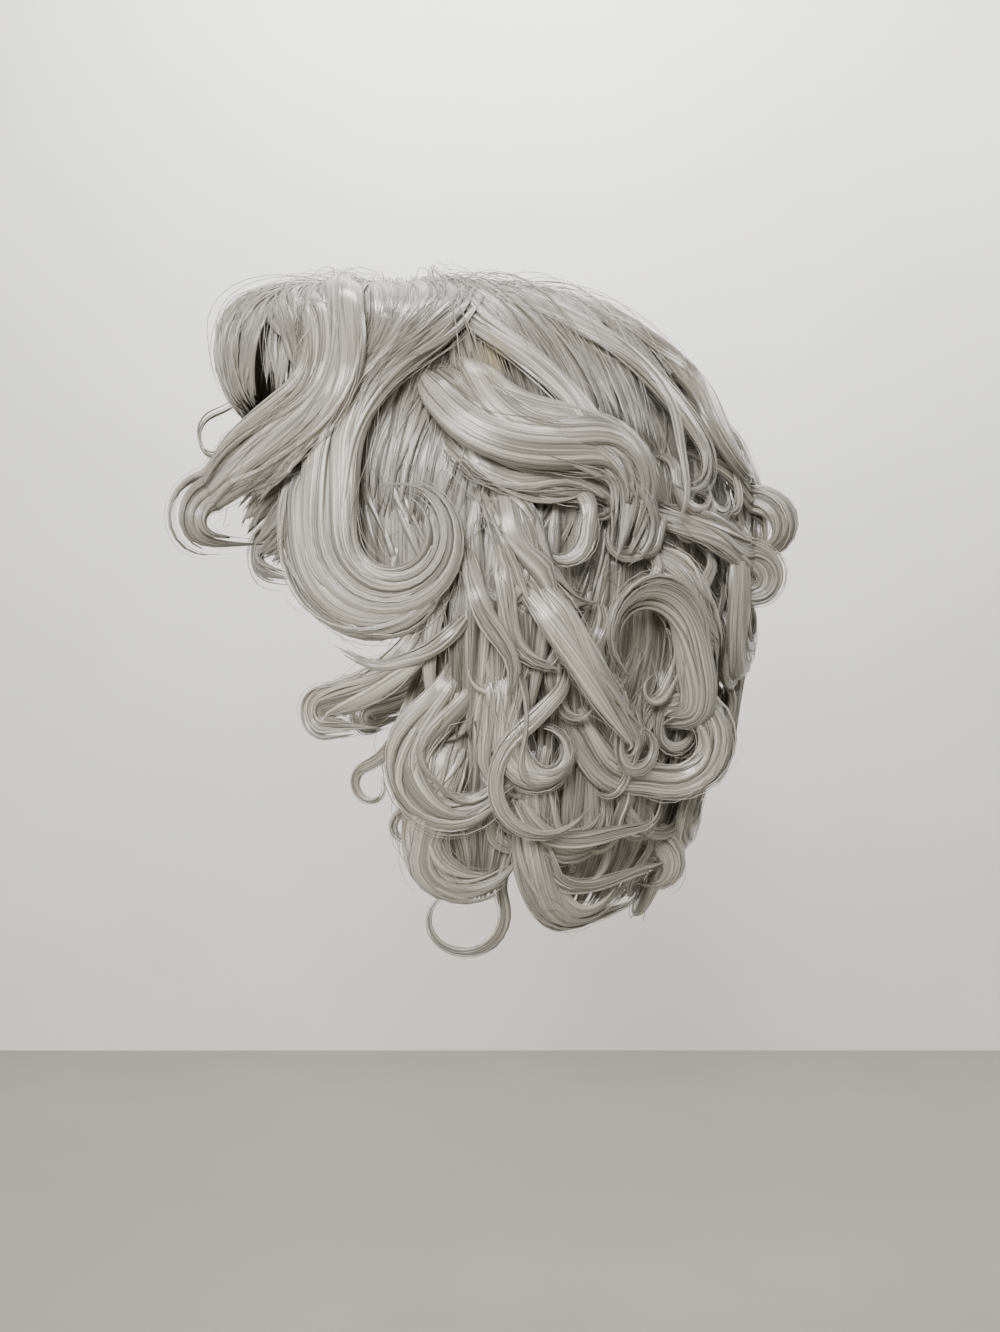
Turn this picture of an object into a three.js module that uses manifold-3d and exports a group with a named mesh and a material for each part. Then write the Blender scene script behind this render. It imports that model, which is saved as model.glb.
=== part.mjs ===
// Short wavy wig: a hollow net cap that carries six sections of curled hair.
// Millimetres. The origin is the inside of the crown, where the top of the head touches.
// +Z is up, the face looks to -Y and the wearer's left is +X.
// Places on the head are a longitude (0 face, 90 left ear, 180 back of the head) and a latitude (90 crown).
import * as THREE from "three";
import Module from "manifold-3d";

const wasm = await Module();
wasm.setup();

// Head room and net cap
const HEAD_CENTRE = new THREE.Vector3(0, 2, -95);
const HEAD_ROOM = { side: 74.5, front: 90.5, back: 93.5, up: 95, down: 148.5 };
const CAP_WALL = 1.5;
const CAP_ROWS = 8;
const CLEAR_DEPTH = 0.8;

// Outer form of the hair: a rounded mass with a raised roll over the forehead
const HAIR = { side: 102, front: 100, back: 125, up: 105, down: 190 };
const QUIFF = { lat: 44, reach: 31, latSpread: 13, lonSpread: 38 };

// Combed hair that lies on the cap and carries the locks
const SEAT_GAP = 1.5;
const BACKING_SHARE = 0.82;
const EDGE_SHARE = 0.3;
const EDGE_RUN = 12;
const BACKING_LEAST = 4;
const COMB_DEPTH = 1.2;
const COMB_PERIOD = 36;
const BACKING_ROW = 15;

// Gaps between sections
const GAP = 0.3;
const GAP_ANGLE = 0.25;
const GROW_ANGLE = 0.1;
const LON_STEP = 9;
const LAT_TOP = 90;
const WELD = 1e4;

// Locks
const LOCK_SINK = 3;
const LOCK_THICKNESS = 0.32;
const LEAST_THICKNESS = 2.4;
const SLIM_WIDTH = 19;
const ROOT_DEPTH = 0.55;
const CURL_SHRINK = 0.38;
const STEM_STEPS = 4;
const CURL_STEP = 45;
const HANDLE = 0.36;
const RISE_END = 0.4;
const HANG = 0.4;
const BEND = 0.5;
const ROOT_WIDTH = 0.7;
const ROOT_RUN = 0.3;
const TIP_START = 0.65;
const TIP_LOSS = 0.65;
const TIP_CURVE = 1.4;

// Edge of the cap, and lower edge of the hair, by longitude to either side of the face
const CAP_EDGE = [
  { lon: 0, lat: 36 },
  { lon: 27, lat: 31 },
  { lon: 45, lat: 14 },
  { lon: 63, lat: -18 },
  { lon: 72, lat: -22 },
  { lon: 81, lat: -20 },
  { lon: 90, lat: -40 },
  { lon: 108, lat: -46 },
  { lon: 180, lat: -48 },
];
const HAIR_EDGE = [
  { lon: 0, lat: 39 },
  { lon: 27, lat: 34 },
  { lon: 45, lat: 15 },
  { lon: 63, lat: -13 },
  { lon: 81, lat: -36 },
  { lon: 90, lat: -54 },
  { lon: 117, lat: -63 },
  { lon: 180, lat: -65 },
];

// Upper edge of the fringe sections, where the long side hair starts
const FRINGE_EDGE = [
  { lon: 0, lat: 60 },
  { lon: 27, lat: 57 },
  { lon: 45, lat: 44 },
  { lon: 54, lat: 20 },
  { lon: 63, lat: -10 },
];
const FRINGE_END = 63;
const BACK_START = 126;
const NAPE_TOP = -8;

const LOCK_COLUMNS = [
  "name", "rootLon", "rootLat", "viaLon", "viaLat", "curlLon", "curlLat",
  "radius", "join", "sweep", "width", "lift", "stand", "tail", "roll",
];

// Locks of the left side. Each leaves its root, passes a second place and ends in a curl.
// The curl's join and sweep are degrees seen from outside: 0 to the back, 90 up; a positive sweep turns left.
// Stand turns the curl out from the head, tail is a straight end, and roll twists the lock on its way.
const LEFT_LOCKS = [
  ["quiff_inner", 11, 56, 10, 52, 10, 36, 12, 100, -190, 38, -13, 90, 0, 0],
  ["quiff_outer", 33, 50, 32, 50, 29, 38, 12, 100, -180, 36, -8, 85, 0, 0],
  ["temple_sweep", 34, 58, 61, 30, 29, 1, 10, 95, -190, 28, 10, 75, 26, 0],
  ["jaw_roll", 84, 42, 65, 20, 78, -3.5, 25, 170, 300, 22, 0, 0, 0, 0],
  ["cheek_roll", 60, 15, 55, 6, 74, -5, 32, 172, 200, 18, -3, 0, 0, 0],
  ["side_wave", 83, 40, 98, 20, 119, 5, 18, 95, -115, 27, 0, 0, 22, 0],
  ["side_wave_under", 86, 26, 97, 10, 119, -1, 14, 95, -110, 15, -3, 0, 0, 0],
  ["crown_fall", 96, 46, 115, 26, 123, -2, 17, 50, -120, 13, 2, 0, 0, 0],
  ["back_fall", 112, 62, 138, 37, 141, 13, 17, 45, -170, 18, 0, 0, 0, 0],
  ["fan_fall", 98, 8, 103, -3, 118, -5, 25, 205, 80, 18, -3, 0, 0, 0],
  ["side_ring", 122, -42, 142, -34, 130, -22, 21, -20, 220, 15, 6, 0, 0, 0],
  ["side_stub", 134, -4, 142, -12, 146, -24, 12, 80, -100, 14, 2, 0, 0, 0],
  ["tongue", 106, -14, 117, -27, 128, -39, 5, 45, -180, 13, 7, 0, 0, 0],
  ["spiral", 116, -36, 128, -46, 144, -38, 19, 235, 370, 15, 2, 40, 0, 0],
  ["barrel", 100, -28, 101, -36, 110, -43, 15, 170, 300, 18, 0, 0, 0, 60],
  ["ear_c", 94, -30, 88, -36, 91.5, -46, 21, 125, 190, 17, 0, 0, 16, 0],
  ["neck_c", 92, -42, 84, -50, 96, -57, 20, 178, 170, 18, 0, 0, 0, 0],
  ["neck_ring", 108, -38, 106, -60, 92, -68, 18, 40, -310, 4, 0, 0, 0, 0],
  ["nape_edge", 108, -52, 112, -59, 131, -60, 20, 205, 150, 15, 0, 0, 0, 0],
  ["nape_fill", 106, -44, 112, -52, 122, -52, 16, 205, 190, 15, -2, 0, 0, 0],
  ["nape_back", 138, -48, 146, -54, 156, -58, 12, 95, -210, 12, 0, 70, 0, 0],
  ["cheek_tip", 88, -20, 74, -32, 59, -38, 5, 100, 170, 12, 0, 0, 24, 0],
  ["back_ring", 148, 18, 158, 13, 171, 1, 13, 110, -330, 12, 2, 90, 0, 0],
  ["back_loop", 134, 4, 146, -2, 161, -9, 9, 95, -190, 12, 4, 70, 22, 0],
];

// Left locks that have a partner on the right side
const PAIRED = [
  "quiff_inner", "quiff_outer", "temple_sweep", "jaw_roll", "cheek_roll", "side_wave", "back_fall",
  "side_ring", "spiral", "barrel", "cheek_tip", "ear_c", "neck_c", "nape_edge",
];

// How far a right lock strays from its partner's mirrored place
const STRAY = { lon: 4, lat: 3, radius: 0.12, join: 14, swingStep: 2.4, nodStep: 1.7 };

const BACK_LOCKS = [
  ["back_drop_left", 158, 52, 163, 38, 166, 20, 17, 150, 240, 26, 0, 0, 0, 0],
  ["back_drop_right", 204, 54, 202, 40, 197, 24, 18, 40, -240, 26, 0, 0, 0, 0],
  ["back_wave", 183, 34, 180, 16, 186, 0, 17, 170, 250, 22, 0, 0, 0, 0],
  ["back_spiral_left", 158, 6, 157, -6, 167, -17, 18, 175, 300, 18, 0, 0, 0, 0],
  ["back_spiral_right", 208, 8, 207, -4, 198, -17, 18, 5, -310, 18, 0, 0, 0, 0],
  ["nape_middle", 184, -16, 181, -26, 183, -37, 16, 150, 280, 17, 0, 0, 0, 0],
  ["nape_curl_left", 166, -28, 160, -38, 167, -48, 16, 165, 250, 16, 0, 0, 0, 0],
  ["nape_curl_right", 202, -26, 206, -38, 198, -48, 17, 10, -260, 16, 0, 0, 0, 0],
  ["nape_end", 180, -48, 176, -54, 182, -61, 14, 170, 220, 15, 0, 0, 0, 0],
];

function radians(degrees) {
  return THREE.MathUtils.degToRad(degrees);
}

// Unit direction from the head's centre to a longitude and latitude
function wayTo(lon, lat) {
  const a = radians(lon);
  const b = radians(lat);
  return new THREE.Vector3(Math.sin(a) * Math.cos(b), -Math.cos(a) * Math.cos(b), Math.sin(b));
}

// The semi-axes of a rounded form on the side of a direction
function axesOf(form, way) {
  return new THREE.Vector3(form.side, way.y < 0 ? form.front : form.back, way.z > 0 ? form.up : form.down);
}

function formRadius(form, way) {
  return 1 / way.clone().divide(axesOf(form, way)).length();
}

function capRadius(way) {
  return formRadius(HEAD_ROOM, way) + CAP_WALL;
}

function hairRadius(way) {
  const lat = THREE.MathUtils.radToDeg(Math.asin(THREE.MathUtils.clamp(way.z, -1, 1)));
  const lon = THREE.MathUtils.radToDeg(Math.atan2(way.x, -way.y));
  const latShare = (lat - QUIFF.lat) / QUIFF.latSpread;
  const lonShare = lon / QUIFF.lonSpread;
  return formRadius(HAIR, way) + QUIFF.reach * Math.exp(-(latShare ** 2 + lonShare ** 2) / 2);
}

function placeAt(way, radius) {
  return HEAD_CENTRE.clone().addScaledVector(way, radius);
}

// Outward, backward and upward directions on the hair's surface. Low curls hang nearly upright.
function surfaceFrame(way) {
  const axes = axesOf(HAIR, way);
  const out = way.clone().divide(axes).divide(axes).normalize();
  out.z *= out.z < 0 ? HANG : 1;
  out.normalize();
  const east = new THREE.Vector3(0, 0, 1).cross(out).normalize();
  const north = out.clone().cross(east);
  return { out, east, north };
}

function turned(from, to, degrees) {
  const a = radians(degrees);
  return from.clone().multiplyScalar(Math.cos(a)).addScaledVector(to, Math.sin(a));
}

// Latitude of an edge table at a longitude, the same on both sides of the face
function edgeAt(table, lon) {
  const side = lon > 180 ? 360 - lon : lon;
  const next = table.findIndex((row) => row.lon >= side);
  if (next <= 0) {
    return table.at(next === 0 ? 0 : -1).lat;
  }
  const low = table[next - 1];
  const high = table[next];
  return THREE.MathUtils.mapLinear(side, low.lon, high.lon, low.lat, high.lat);
}

// One closed body from rings of points. Each ring runs out along one face and back along the other.
function loft(rings, closed) {
  const places = new Map();
  const positions = [];
  const triangles = [];
  const numbers = rings.map((ring) => ring.map((point) => {
    const key = point.toArray().map((value) => Math.round(value * WELD)).join();
    if (!places.has(key)) {
      places.set(key, places.size);
      positions.push(...point.toArray());
    }
    return places.get(key);
  }));
  const face = (a, b, c) => {
    if (a !== b && b !== c && a !== c) {
      triangles.push(a, b, c);
    }
  };
  const quad = (a, b, c, d) => {
    face(a, b, c);
    face(a, c, d);
  };
  const size = rings[0].length;
  const last = rings.length - 1;
  for (let i = 0; i < last; i += 1) {
    for (let j = 0; j < size; j += 1) {
      const k = (j + 1) % size;
      quad(numbers[i][j], numbers[i + 1][j], numbers[i + 1][k], numbers[i][k]);
    }
  }
  if (!closed) {
    for (let j = 0; j < size / 2 - 1; j += 1) {
      quad(numbers[0][j], numbers[0][j + 1], numbers[0][size - 2 - j], numbers[0][size - 1 - j]);
      quad(numbers[last][j + 1], numbers[last][j], numbers[last][size - 1 - j], numbers[last][size - 2 - j]);
    }
  }
  return new wasm.Manifold(new wasm.Mesh({
    numProp: 3,
    vertProperties: new Float32Array(positions),
    triVerts: new Uint32Array(triangles),
  }));
}

// A curved wall between two radius rules, over a range of longitude and between two latitude rules
function wall({ lons, lowAt, highAt, innerAt, outerAt, rows, shift, closed }) {
  const rings = lons.map((lon) => {
    const low = lowAt(lon);
    const high = highAt(lon);
    const ways = Array.from({ length: rows + 1 }, (_, j) => wayTo(lon, low + ((high - low) * j) / rows));
    const outer = ways.map((way, j) => placeAt(way, outerAt(way, lon, j / rows)).add(shift));
    const inner = ways.map((way) => placeAt(way, innerAt(way)).add(shift));
    return [...outer, ...inner.reverse()];
  });
  return loft(rings, closed);
}

function lonRange(from, to) {
  const count = Math.round((to - from) / LON_STEP);
  return Array.from({ length: count + 1 }, (_, i) => from + i * LON_STEP);
}

// The net cap, or the room that hair keeps clear round it
function capWall(innerAt, outerAt) {
  return wall({
    lons: lonRange(0, 360),
    lowAt: (lon) => edgeAt(CAP_EDGE, lon),
    highAt: () => LAT_TOP,
    innerAt,
    outerAt,
    rows: CAP_ROWS,
    shift: new THREE.Vector3(),
    closed: true,
  });
}

// Where each section lies: its longitudes, its latitude rules and the side it is shifted to
const SECTIONS = {
  left_hair: {
    lons: [0, BACK_START],
    low: (lon) => (lon < FRINGE_END ? edgeAt(FRINGE_EDGE, lon) : edgeAt(HAIR_EDGE, lon)),
    high: () => LAT_TOP,
    shift: new THREE.Vector3(GAP, 0, 0),
  },
  fringe_left: {
    lons: [0, FRINGE_END],
    low: (lon) => edgeAt(HAIR_EDGE, lon),
    high: (lon) => edgeAt(FRINGE_EDGE, lon),
    shift: new THREE.Vector3(GAP, 0, 0),
  },
  back_hair: {
    lons: [BACK_START, 360 - BACK_START],
    low: () => NAPE_TOP,
    high: () => LAT_TOP,
    shift: new THREE.Vector3(0, GAP, 0),
  },
  nape_hair: {
    lons: [BACK_START, 360 - BACK_START],
    low: (lon) => edgeAt(HAIR_EDGE, lon),
    high: () => NAPE_TOP,
    shift: new THREE.Vector3(0, GAP, 0),
  },
  right_hair: {
    lons: [360 - BACK_START, 360],
    low: (lon) => (lon > 360 - FRINGE_END ? edgeAt(FRINGE_EDGE, lon) : edgeAt(HAIR_EDGE, lon)),
    high: () => LAT_TOP,
    shift: new THREE.Vector3(-GAP, 0, 0),
  },
  fringe_right: {
    lons: [360 - FRINGE_END, 360],
    low: (lon) => edgeAt(HAIR_EDGE, lon),
    high: (lon) => edgeAt(FRINGE_EDGE, lon),
    shift: new THREE.Vector3(-GAP, 0, 0),
  },
};

// Outer radius of the combed backing: thin at its lower edge, with shallow flutes that run down the hair
function backingRadius(way, lon) {
  const base = capRadius(way);
  const lat = THREE.MathUtils.radToDeg(Math.asin(way.z));
  const full = THREE.MathUtils.smoothstep(lat - edgeAt(HAIR_EDGE, lon), 0, EDGE_RUN);
  const share = BACKING_SHARE * THREE.MathUtils.lerp(EDGE_SHARE, 1, full);
  const depth = Math.max(BACKING_LEAST, (hairRadius(way) - base) * share);
  const fromCrown = Math.hypot(way.x, way.y);
  return base + depth + COMB_DEPTH * fromCrown * Math.cos((2 * Math.PI * lon) / COMB_PERIOD);
}

function backing(section, grow) {
  const trim = grow > 0 ? -GROW_ANGLE : GAP_ANGLE;
  const lons = lonRange(...section.lons);
  const first = lons[0];
  const last = lons.at(-1);
  const columns = lons.map((lon) => lon + (lon === first ? trim : 0) - (lon === last ? trim : 0));
  const tallest = Math.max(...lons.map((lon) => section.high(lon) - section.low(lon)));
  return wall({
    lons: columns,
    lowAt: (lon) => section.low(THREE.MathUtils.clamp(lon, first, last)) + trim,
    highAt: (lon) => {
      const top = section.high(THREE.MathUtils.clamp(lon, first, last));
      return top === LAT_TOP ? top : top - trim;
    },
    innerAt: (way) => capRadius(way) + SEAT_GAP - grow,
    outerAt: (way, lon) => backingRadius(way, lon) + grow,
    rows: Math.ceil(tallest / BACKING_ROW),
    shift: section.shift,
    closed: false,
  });
}

// Middle line of a lock: up out of the backing, along the hair and round its curl
function lockPath(lock) {
  const rootWay = wayTo(lock.rootLon, lock.rootLat);
  const viaWay = wayTo(lock.viaLon, lock.viaLat);
  const curlWay = wayTo(lock.curlLon, lock.curlLat);
  const { out, east, north } = surfaceFrame(curlWay);
  const across = turned(east, out, lock.stand);
  const centre = placeAt(curlWay, hairRadius(curlWay) + lock.lift - LOCK_SINK);
  const onCurl = (angle, radius) => centre.clone().addScaledVector(turned(across, north, angle), radius);
  const root = placeAt(rootWay, hairRadius(rootWay));
  const via = placeAt(viaWay, hairRadius(viaWay));
  const join = onCurl(lock.join, lock.radius);
  const away = turned(across, north, lock.join + 90 * Math.sign(lock.sweep));
  const leave = via.clone().sub(root).normalize();
  const pass = join.clone().sub(root).normalize().add(leave).addScaledVector(away, BEND).normalize();
  const rootLift = ROOT_DEPTH * (capRadius(rootWay) - hairRadius(rootWay));
  const joinWay = join.clone().sub(HEAD_CENTRE);
  const joinLift = joinWay.length() - hairRadius(joinWay.clone().normalize());
  const firstSpan = via.distanceTo(root);
  const secondSpan = join.distanceTo(via);
  const halfSteps = Math.max(2, Math.round((STEM_STEPS * firstSpan) / (firstSpan + secondSpan)));
  const stems = [
    { from: root, to: via, start: leave, end: pass, span: firstSpan, steps: halfSteps },
    { from: via, to: join, start: pass, end: away, span: secondSpan, steps: Math.max(2, STEM_STEPS - halfSteps) },
  ];
  const stepTotal = stems[0].steps + stems[1].steps;
  const points = [];
  for (const stem of stems) {
    const curve = new THREE.CubicBezierCurve3(
      stem.from,
      stem.from.clone().addScaledVector(stem.start, HANDLE * stem.span),
      stem.to.clone().addScaledVector(stem.end, -HANDLE * stem.span),
      stem.to,
    );
    for (let i = 0; i < stem.steps; i += 1) {
      const way = curve.getPoint(i / stem.steps).sub(HEAD_CENTRE).normalize();
      const rise = THREE.MathUtils.smoothstep(points.length / stepTotal, 0, RISE_END);
      points.push(placeAt(way, hairRadius(way) + THREE.MathUtils.lerp(rootLift, joinLift, rise)));
    }
  }
  const curlSteps = Math.max(2, Math.round(Math.abs(lock.sweep) / CURL_STEP));
  for (let i = 0; i <= curlSteps; i += 1) {
    const angle = (lock.sweep * i) / curlSteps;
    points.push(onCurl(lock.join + angle, lock.radius * (1 - (CURL_SHRINK * Math.abs(angle)) / 360)));
  }
  if (lock.tail > 0) {
    const ahead = points.at(-1).clone().sub(points.at(-2)).normalize();
    points.push(points.at(-1).clone().addScaledVector(ahead, lock.tail / 2));
    points.push(points.at(-1).clone().addScaledVector(ahead, lock.tail / 2));
  }
  return points;
}

// Width of a lock along its length: a gathered root, a full middle and a drawn-in end
function widthShare(along) {
  const gathered = THREE.MathUtils.lerp(ROOT_WIDTH, 1, Math.min(1, along / ROOT_RUN));
  const tipShare = Math.max(0, (along - TIP_START) / (1 - TIP_START));
  const drawnIn = 1 - TIP_LOSS * tipShare ** TIP_CURVE;
  return gathered * drawnIn;
}

// Corners of a lock's section as shares of its half width and half thickness
const FULL_SECTION = [[-1, 0], [-0.5, 0.95], [0.5, 0.95], [1, 0], [0.5, -0.95], [-0.5, -0.95]];
const SLIM_SECTION = [[-1, 0], [0, 1], [1, 0], [0, -1]];

function lockBody(lock, grow) {
  const points = lockPath(lock);
  const last = points.length - 1;
  const tangents = points.map((_, i) => {
    const before = points[Math.max(0, i - 1)];
    const after = points[Math.min(last, i + 1)];
    return after.clone().sub(before).normalize();
  });
  const { out } = surfaceFrame(points[0].clone().sub(HEAD_CENTRE).normalize());
  let side = out.clone().cross(tangents[0]).normalize();
  const corners = lock.width < SLIM_WIDTH ? SLIM_SECTION : FULL_SECTION;
  const rings = points.map((point, i) => {
    if (i > 0) {
      side = side.applyQuaternion(new THREE.Quaternion().setFromUnitVectors(tangents[i - 1], tangents[i]));
    }
    const along = i / last;
    const up = tangents[i].clone().cross(side);
    const twist = lock.roll * along;
    const flat = turned(side, up, twist);
    const thick = turned(up, side, -twist);
    const halfWidth = (lock.width * widthShare(along)) / 2;
    const halfThickness = Math.min(halfWidth, Math.max(LEAST_THICKNESS / 2, halfWidth * LOCK_THICKNESS));
    const past = (i === last ? grow : 0) - (i === 0 ? grow : 0);
    return corners.map(([across, above]) => point.clone()
      .addScaledVector(tangents[i], past)
      .addScaledVector(flat, across * halfWidth + Math.sign(across) * grow)
      .addScaledVector(thick, above * halfThickness + Math.sign(above) * grow));
  });
  return loft(rings, false);
}

function namedLock(row) {
  return Object.fromEntries(LOCK_COLUMNS.map((column, i) => [column, row[i]]));
}

// A left lock's partner on the right, moved a little so that the sides differ
function rightPartner(lock, i) {
  const swing = Math.sin(i * STRAY.swingStep);
  const nod = Math.cos(i * STRAY.nodStep);
  return {
    ...lock,
    rootLon: 360 - lock.rootLon,
    viaLon: 360 - lock.viaLon + STRAY.lon * swing,
    viaLat: lock.viaLat + STRAY.lat * nod,
    curlLon: 360 - lock.curlLon + STRAY.lon * swing,
    curlLat: lock.curlLat + STRAY.lat * nod,
    radius: lock.radius * (1 + STRAY.radius * swing),
    join: 180 - lock.join + STRAY.join * nod,
    sweep: -lock.sweep,
    stand: -lock.stand,
    roll: -lock.roll,
  };
}

function sectionOf(lock) {
  return Object.keys(SECTIONS).find((name) => {
    const { lons, low, high } = SECTIONS[name];
    return lock.rootLon >= lons[0] && lock.rootLon <= lons[1]
      && lock.rootLat >= low(lock.rootLon) && lock.rootLat <= high(lock.rootLon);
  });
}

const leftLocks = LEFT_LOCKS.map(namedLock);
const rightLocks = leftLocks.filter((lock) => PAIRED.includes(lock.name)).map(rightPartner);
const locks = [...leftLocks, ...rightLocks, ...BACK_LOCKS.map(namedLock)];

function joined(bodies) {
  return bodies.reduce((whole, body) => whole.add(body));
}

function largest(body) {
  return body.decompose().reduce((most, piece) => (piece.volume() > most.volume() ? piece : most));
}

function meshOf(name, body, material) {
  const { vertProperties, triVerts, numProp } = body.getMesh();
  const geometry = new THREE.BufferGeometry();
  const positions = Array.from({ length: vertProperties.length / numProp }, (_, i) => (
    [...vertProperties.slice(i * numProp, i * numProp + 3)]
  )).flat();
  geometry.setAttribute("position", new THREE.Float32BufferAttribute(positions, 3));
  geometry.setIndex([...triVerts]);
  geometry.computeVertexNormals();
  const mesh = new THREE.Mesh(geometry, material);
  mesh.name = name;
  return mesh;
}

const wig = new THREE.Group();
wig.name = "wavy_wig";

const cap = capWall((way) => formRadius(HEAD_ROOM, way), capRadius);
const capRoom = capWall((way) => formRadius(HEAD_ROOM, way) * CLEAR_DEPTH, (way) => capRadius(way) + GAP);
wig.add(meshOf("cap", cap, new THREE.MeshStandardMaterial({ color: 0xc9b596, roughness: 0.9 })));

let taken = capRoom;
for (const [name, section] of Object.entries(SECTIONS)) {
  const own = locks.filter((lock) => sectionOf(lock) === name);
  const whole = joined([backing(section, 0), ...own.map((lock) => lockBody(lock, 0))]);
  const body = largest(whole.subtract(taken));
  taken = joined([taken, backing(section, GAP), ...own.map((lock) => lockBody(lock, GAP))]);
  wig.add(meshOf(name, body, new THREE.MeshStandardMaterial({ color: 0xb4b0aa, roughness: 0.45 })));
}

export default wig;
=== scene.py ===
import math

import bpy
import numpy as np
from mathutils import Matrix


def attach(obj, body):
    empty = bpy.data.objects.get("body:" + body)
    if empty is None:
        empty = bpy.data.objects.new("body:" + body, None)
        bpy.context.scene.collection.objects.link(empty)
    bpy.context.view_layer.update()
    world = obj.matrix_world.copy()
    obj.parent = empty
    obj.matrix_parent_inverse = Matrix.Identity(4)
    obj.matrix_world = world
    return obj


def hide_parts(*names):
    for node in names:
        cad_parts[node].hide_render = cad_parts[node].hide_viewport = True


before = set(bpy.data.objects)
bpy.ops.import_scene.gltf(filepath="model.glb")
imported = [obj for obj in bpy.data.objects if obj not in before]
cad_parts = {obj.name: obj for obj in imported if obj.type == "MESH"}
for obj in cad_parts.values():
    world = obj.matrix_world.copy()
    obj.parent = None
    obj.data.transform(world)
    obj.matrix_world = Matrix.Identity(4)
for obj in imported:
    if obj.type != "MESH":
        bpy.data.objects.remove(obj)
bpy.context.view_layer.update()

# Short wavy wig of silver-grey synthetic hair on a net cap.
# Lengths are millimetres until a mesh is made. Angles are degrees.
# Places on the wig are a longitude (0 front, 90 the wearer's left, 180 back) and a latitude (90 crown).
METRES = 0.001
TINY = 1e-9
SEED = 21
CROWN = 90

# Forms shared with the part's solids
HEAD_CENTRE = np.array([0.0, 2.0, -95.0])
HEAD_ROOM = {"side": 74.5, "front": 90.5, "back": 93.5, "up": 95, "down": 148.5}
HAIR = {"side": 102, "front": 100, "back": 125, "up": 105, "down": 190}
QUIFF = {"lat": 44, "reach": 31, "lat_spread": 13, "lon_spread": 38}
CAP_WALL = 1.5
BACKING_SHARE = 0.82
BACKING_LEAST = 4
EDGE_SHARE = 0.3
EDGE_RUN = 12
LOCK_SINK = 3
LOCK_THICKNESS = 0.32
LEAST_THICKNESS = 2.4
ROOT_DEPTH = 0.55
CURL_SHRINK = 0.38
HANDLE = 0.36
RISE_END = 0.4
HANG = 0.4
FRINGE_END = 63
BACK_START = 126
BACK_END = 360 - BACK_START
NAPE_TOP = -8

# Lower edges of the cap and the hair, and the fringe's upper edge: a latitude at each longitude
CAP_EDGE = {0: 36, 27: 31, 45: 14, 63: -18, 72: -22, 81: -20, 90: -40, 108: -46, 180: -48}
HAIR_EDGE = {0: 39, 27: 34, 45: 15, 63: -13, 81: -36, 90: -54, 117: -63, 180: -65}
FRINGE_EDGE = {0: 60, 27: 57, 45: 44, 54: 20, 63: -10}

LOCK_COLUMNS = ("name", "root_lon", "root_lat", "via_lon", "via_lat", "curl_lon", "curl_lat",
                "radius", "join", "sweep", "width", "lift", "stand", "tail", "roll")

# Locks of the left side. Each leaves its root, passes a second place and ends in a curl.
# The curl's join and sweep are seen from outside: 0 to the back, 90 up; a positive sweep turns left.
# Lift raises the curl, stand turns it out from the wig, tail runs straight on and roll twists the lock.
LEFT_LOCKS = [
    ("temple_sweep", 34, 58, 64, 27, 28, 1, 11, 95, -190, 23, 10, 75, 26, 0),
    ("jaw_roll", 84, 42, 65, 20, 78, -3.5, 25, 170, 300, 22, 0, 0, 0, 0),
    ("cheek_roll", 60, 15, 55, 6, 74, -5, 32, 172, 200, 18, -3, 0, 0, 0),
    ("side_wave", 83, 40, 98, 20, 119, 5, 18, 95, -115, 27, 0, 0, 22, 0),
    ("side_wave_under", 86, 26, 97, 10, 119, -1, 14, 95, -110, 15, -3, 0, 0, 0),
    ("crown_fall", 96, 46, 115, 26, 123, -2, 17, 50, -120, 13, 2, 0, 0, 0),
    ("back_fall", 112, 62, 138, 37, 141, 13, 17, 45, -170, 18, 0, 0, 0, 0),
    ("fan_fall", 98, 8, 103, -3, 118, -5, 25, 205, 80, 18, -3, 0, 0, 0),
    ("side_ring", 143, -40, 144, -31, 130, -22, 21, -5, 250, 15, 6, 0, 0, 0),
    ("side_stub", 134, -4, 142, -12, 146, -24, 12, 80, -100, 14, 2, 0, 0, 0),
    ("tongue", 102, -7, 114, -24, 128, -39, 5, 45, -180, 13, 7, 0, 0, 0),
    ("spiral", 116, -36, 128, -46, 144, -38, 19, 235, 370, 15, 2, 40, 0, 0),
    ("barrel", 100, -28, 101, -36, 110, -43, 15, 170, 300, 18, 0, 0, 0, 60),
    ("ear_c", 94, -30, 88, -36, 91.5, -46, 21, 125, 190, 17, 0, 0, 16, 0),
    ("neck_c", 92, -42, 84, -50, 96, -57, 20, 178, 170, 18, 0, 0, 0, 0),
    ("neck_ring", 108, -38, 106, -60, 92, -68, 18, 40, -310, 4, 0, 0, 0, 0),
    ("nape_edge", 108, -52, 112, -59, 131, -60, 20, 205, 150, 15, 0, 0, 0, 0),
    ("nape_fill", 106, -44, 112, -52, 122, -52, 16, 205, 190, 15, -2, 0, 0, 0),
    ("nape_back", 138, -48, 146, -54, 156, -58, 12, 95, -210, 12, 0, 70, 0, 0),
    ("cheek_tip", 88, -20, 74, -32, 59, -38, 5, 100, 170, 12, 0, 0, 24, 0),
    ("back_ring", 148, 18, 158, 13, 171, 1, 13, 110, -330, 12, 2, 90, 0, 0),
    ("back_loop", 134, 4, 146, -2, 161, -9, 9, 95, -190, 12, 4, 70, 22, 0),
]

# Left locks that have a partner on the right, and how far the partners stray.
# Partners are numbered as in the part's source, where two locks of the front roll come first.
PAIRED = ("temple_sweep", "jaw_roll", "cheek_roll", "side_wave", "back_fall", "side_ring", "spiral", "barrel",
          "cheek_tip", "ear_c", "neck_c", "nape_edge")
FIRST_PARTNER = 2
STRAY = {"lon": 4, "lat": 3, "radius": 0.12, "join": 14}
SWING_STEP = 2.4
NOD_STEP = 1.7

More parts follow.
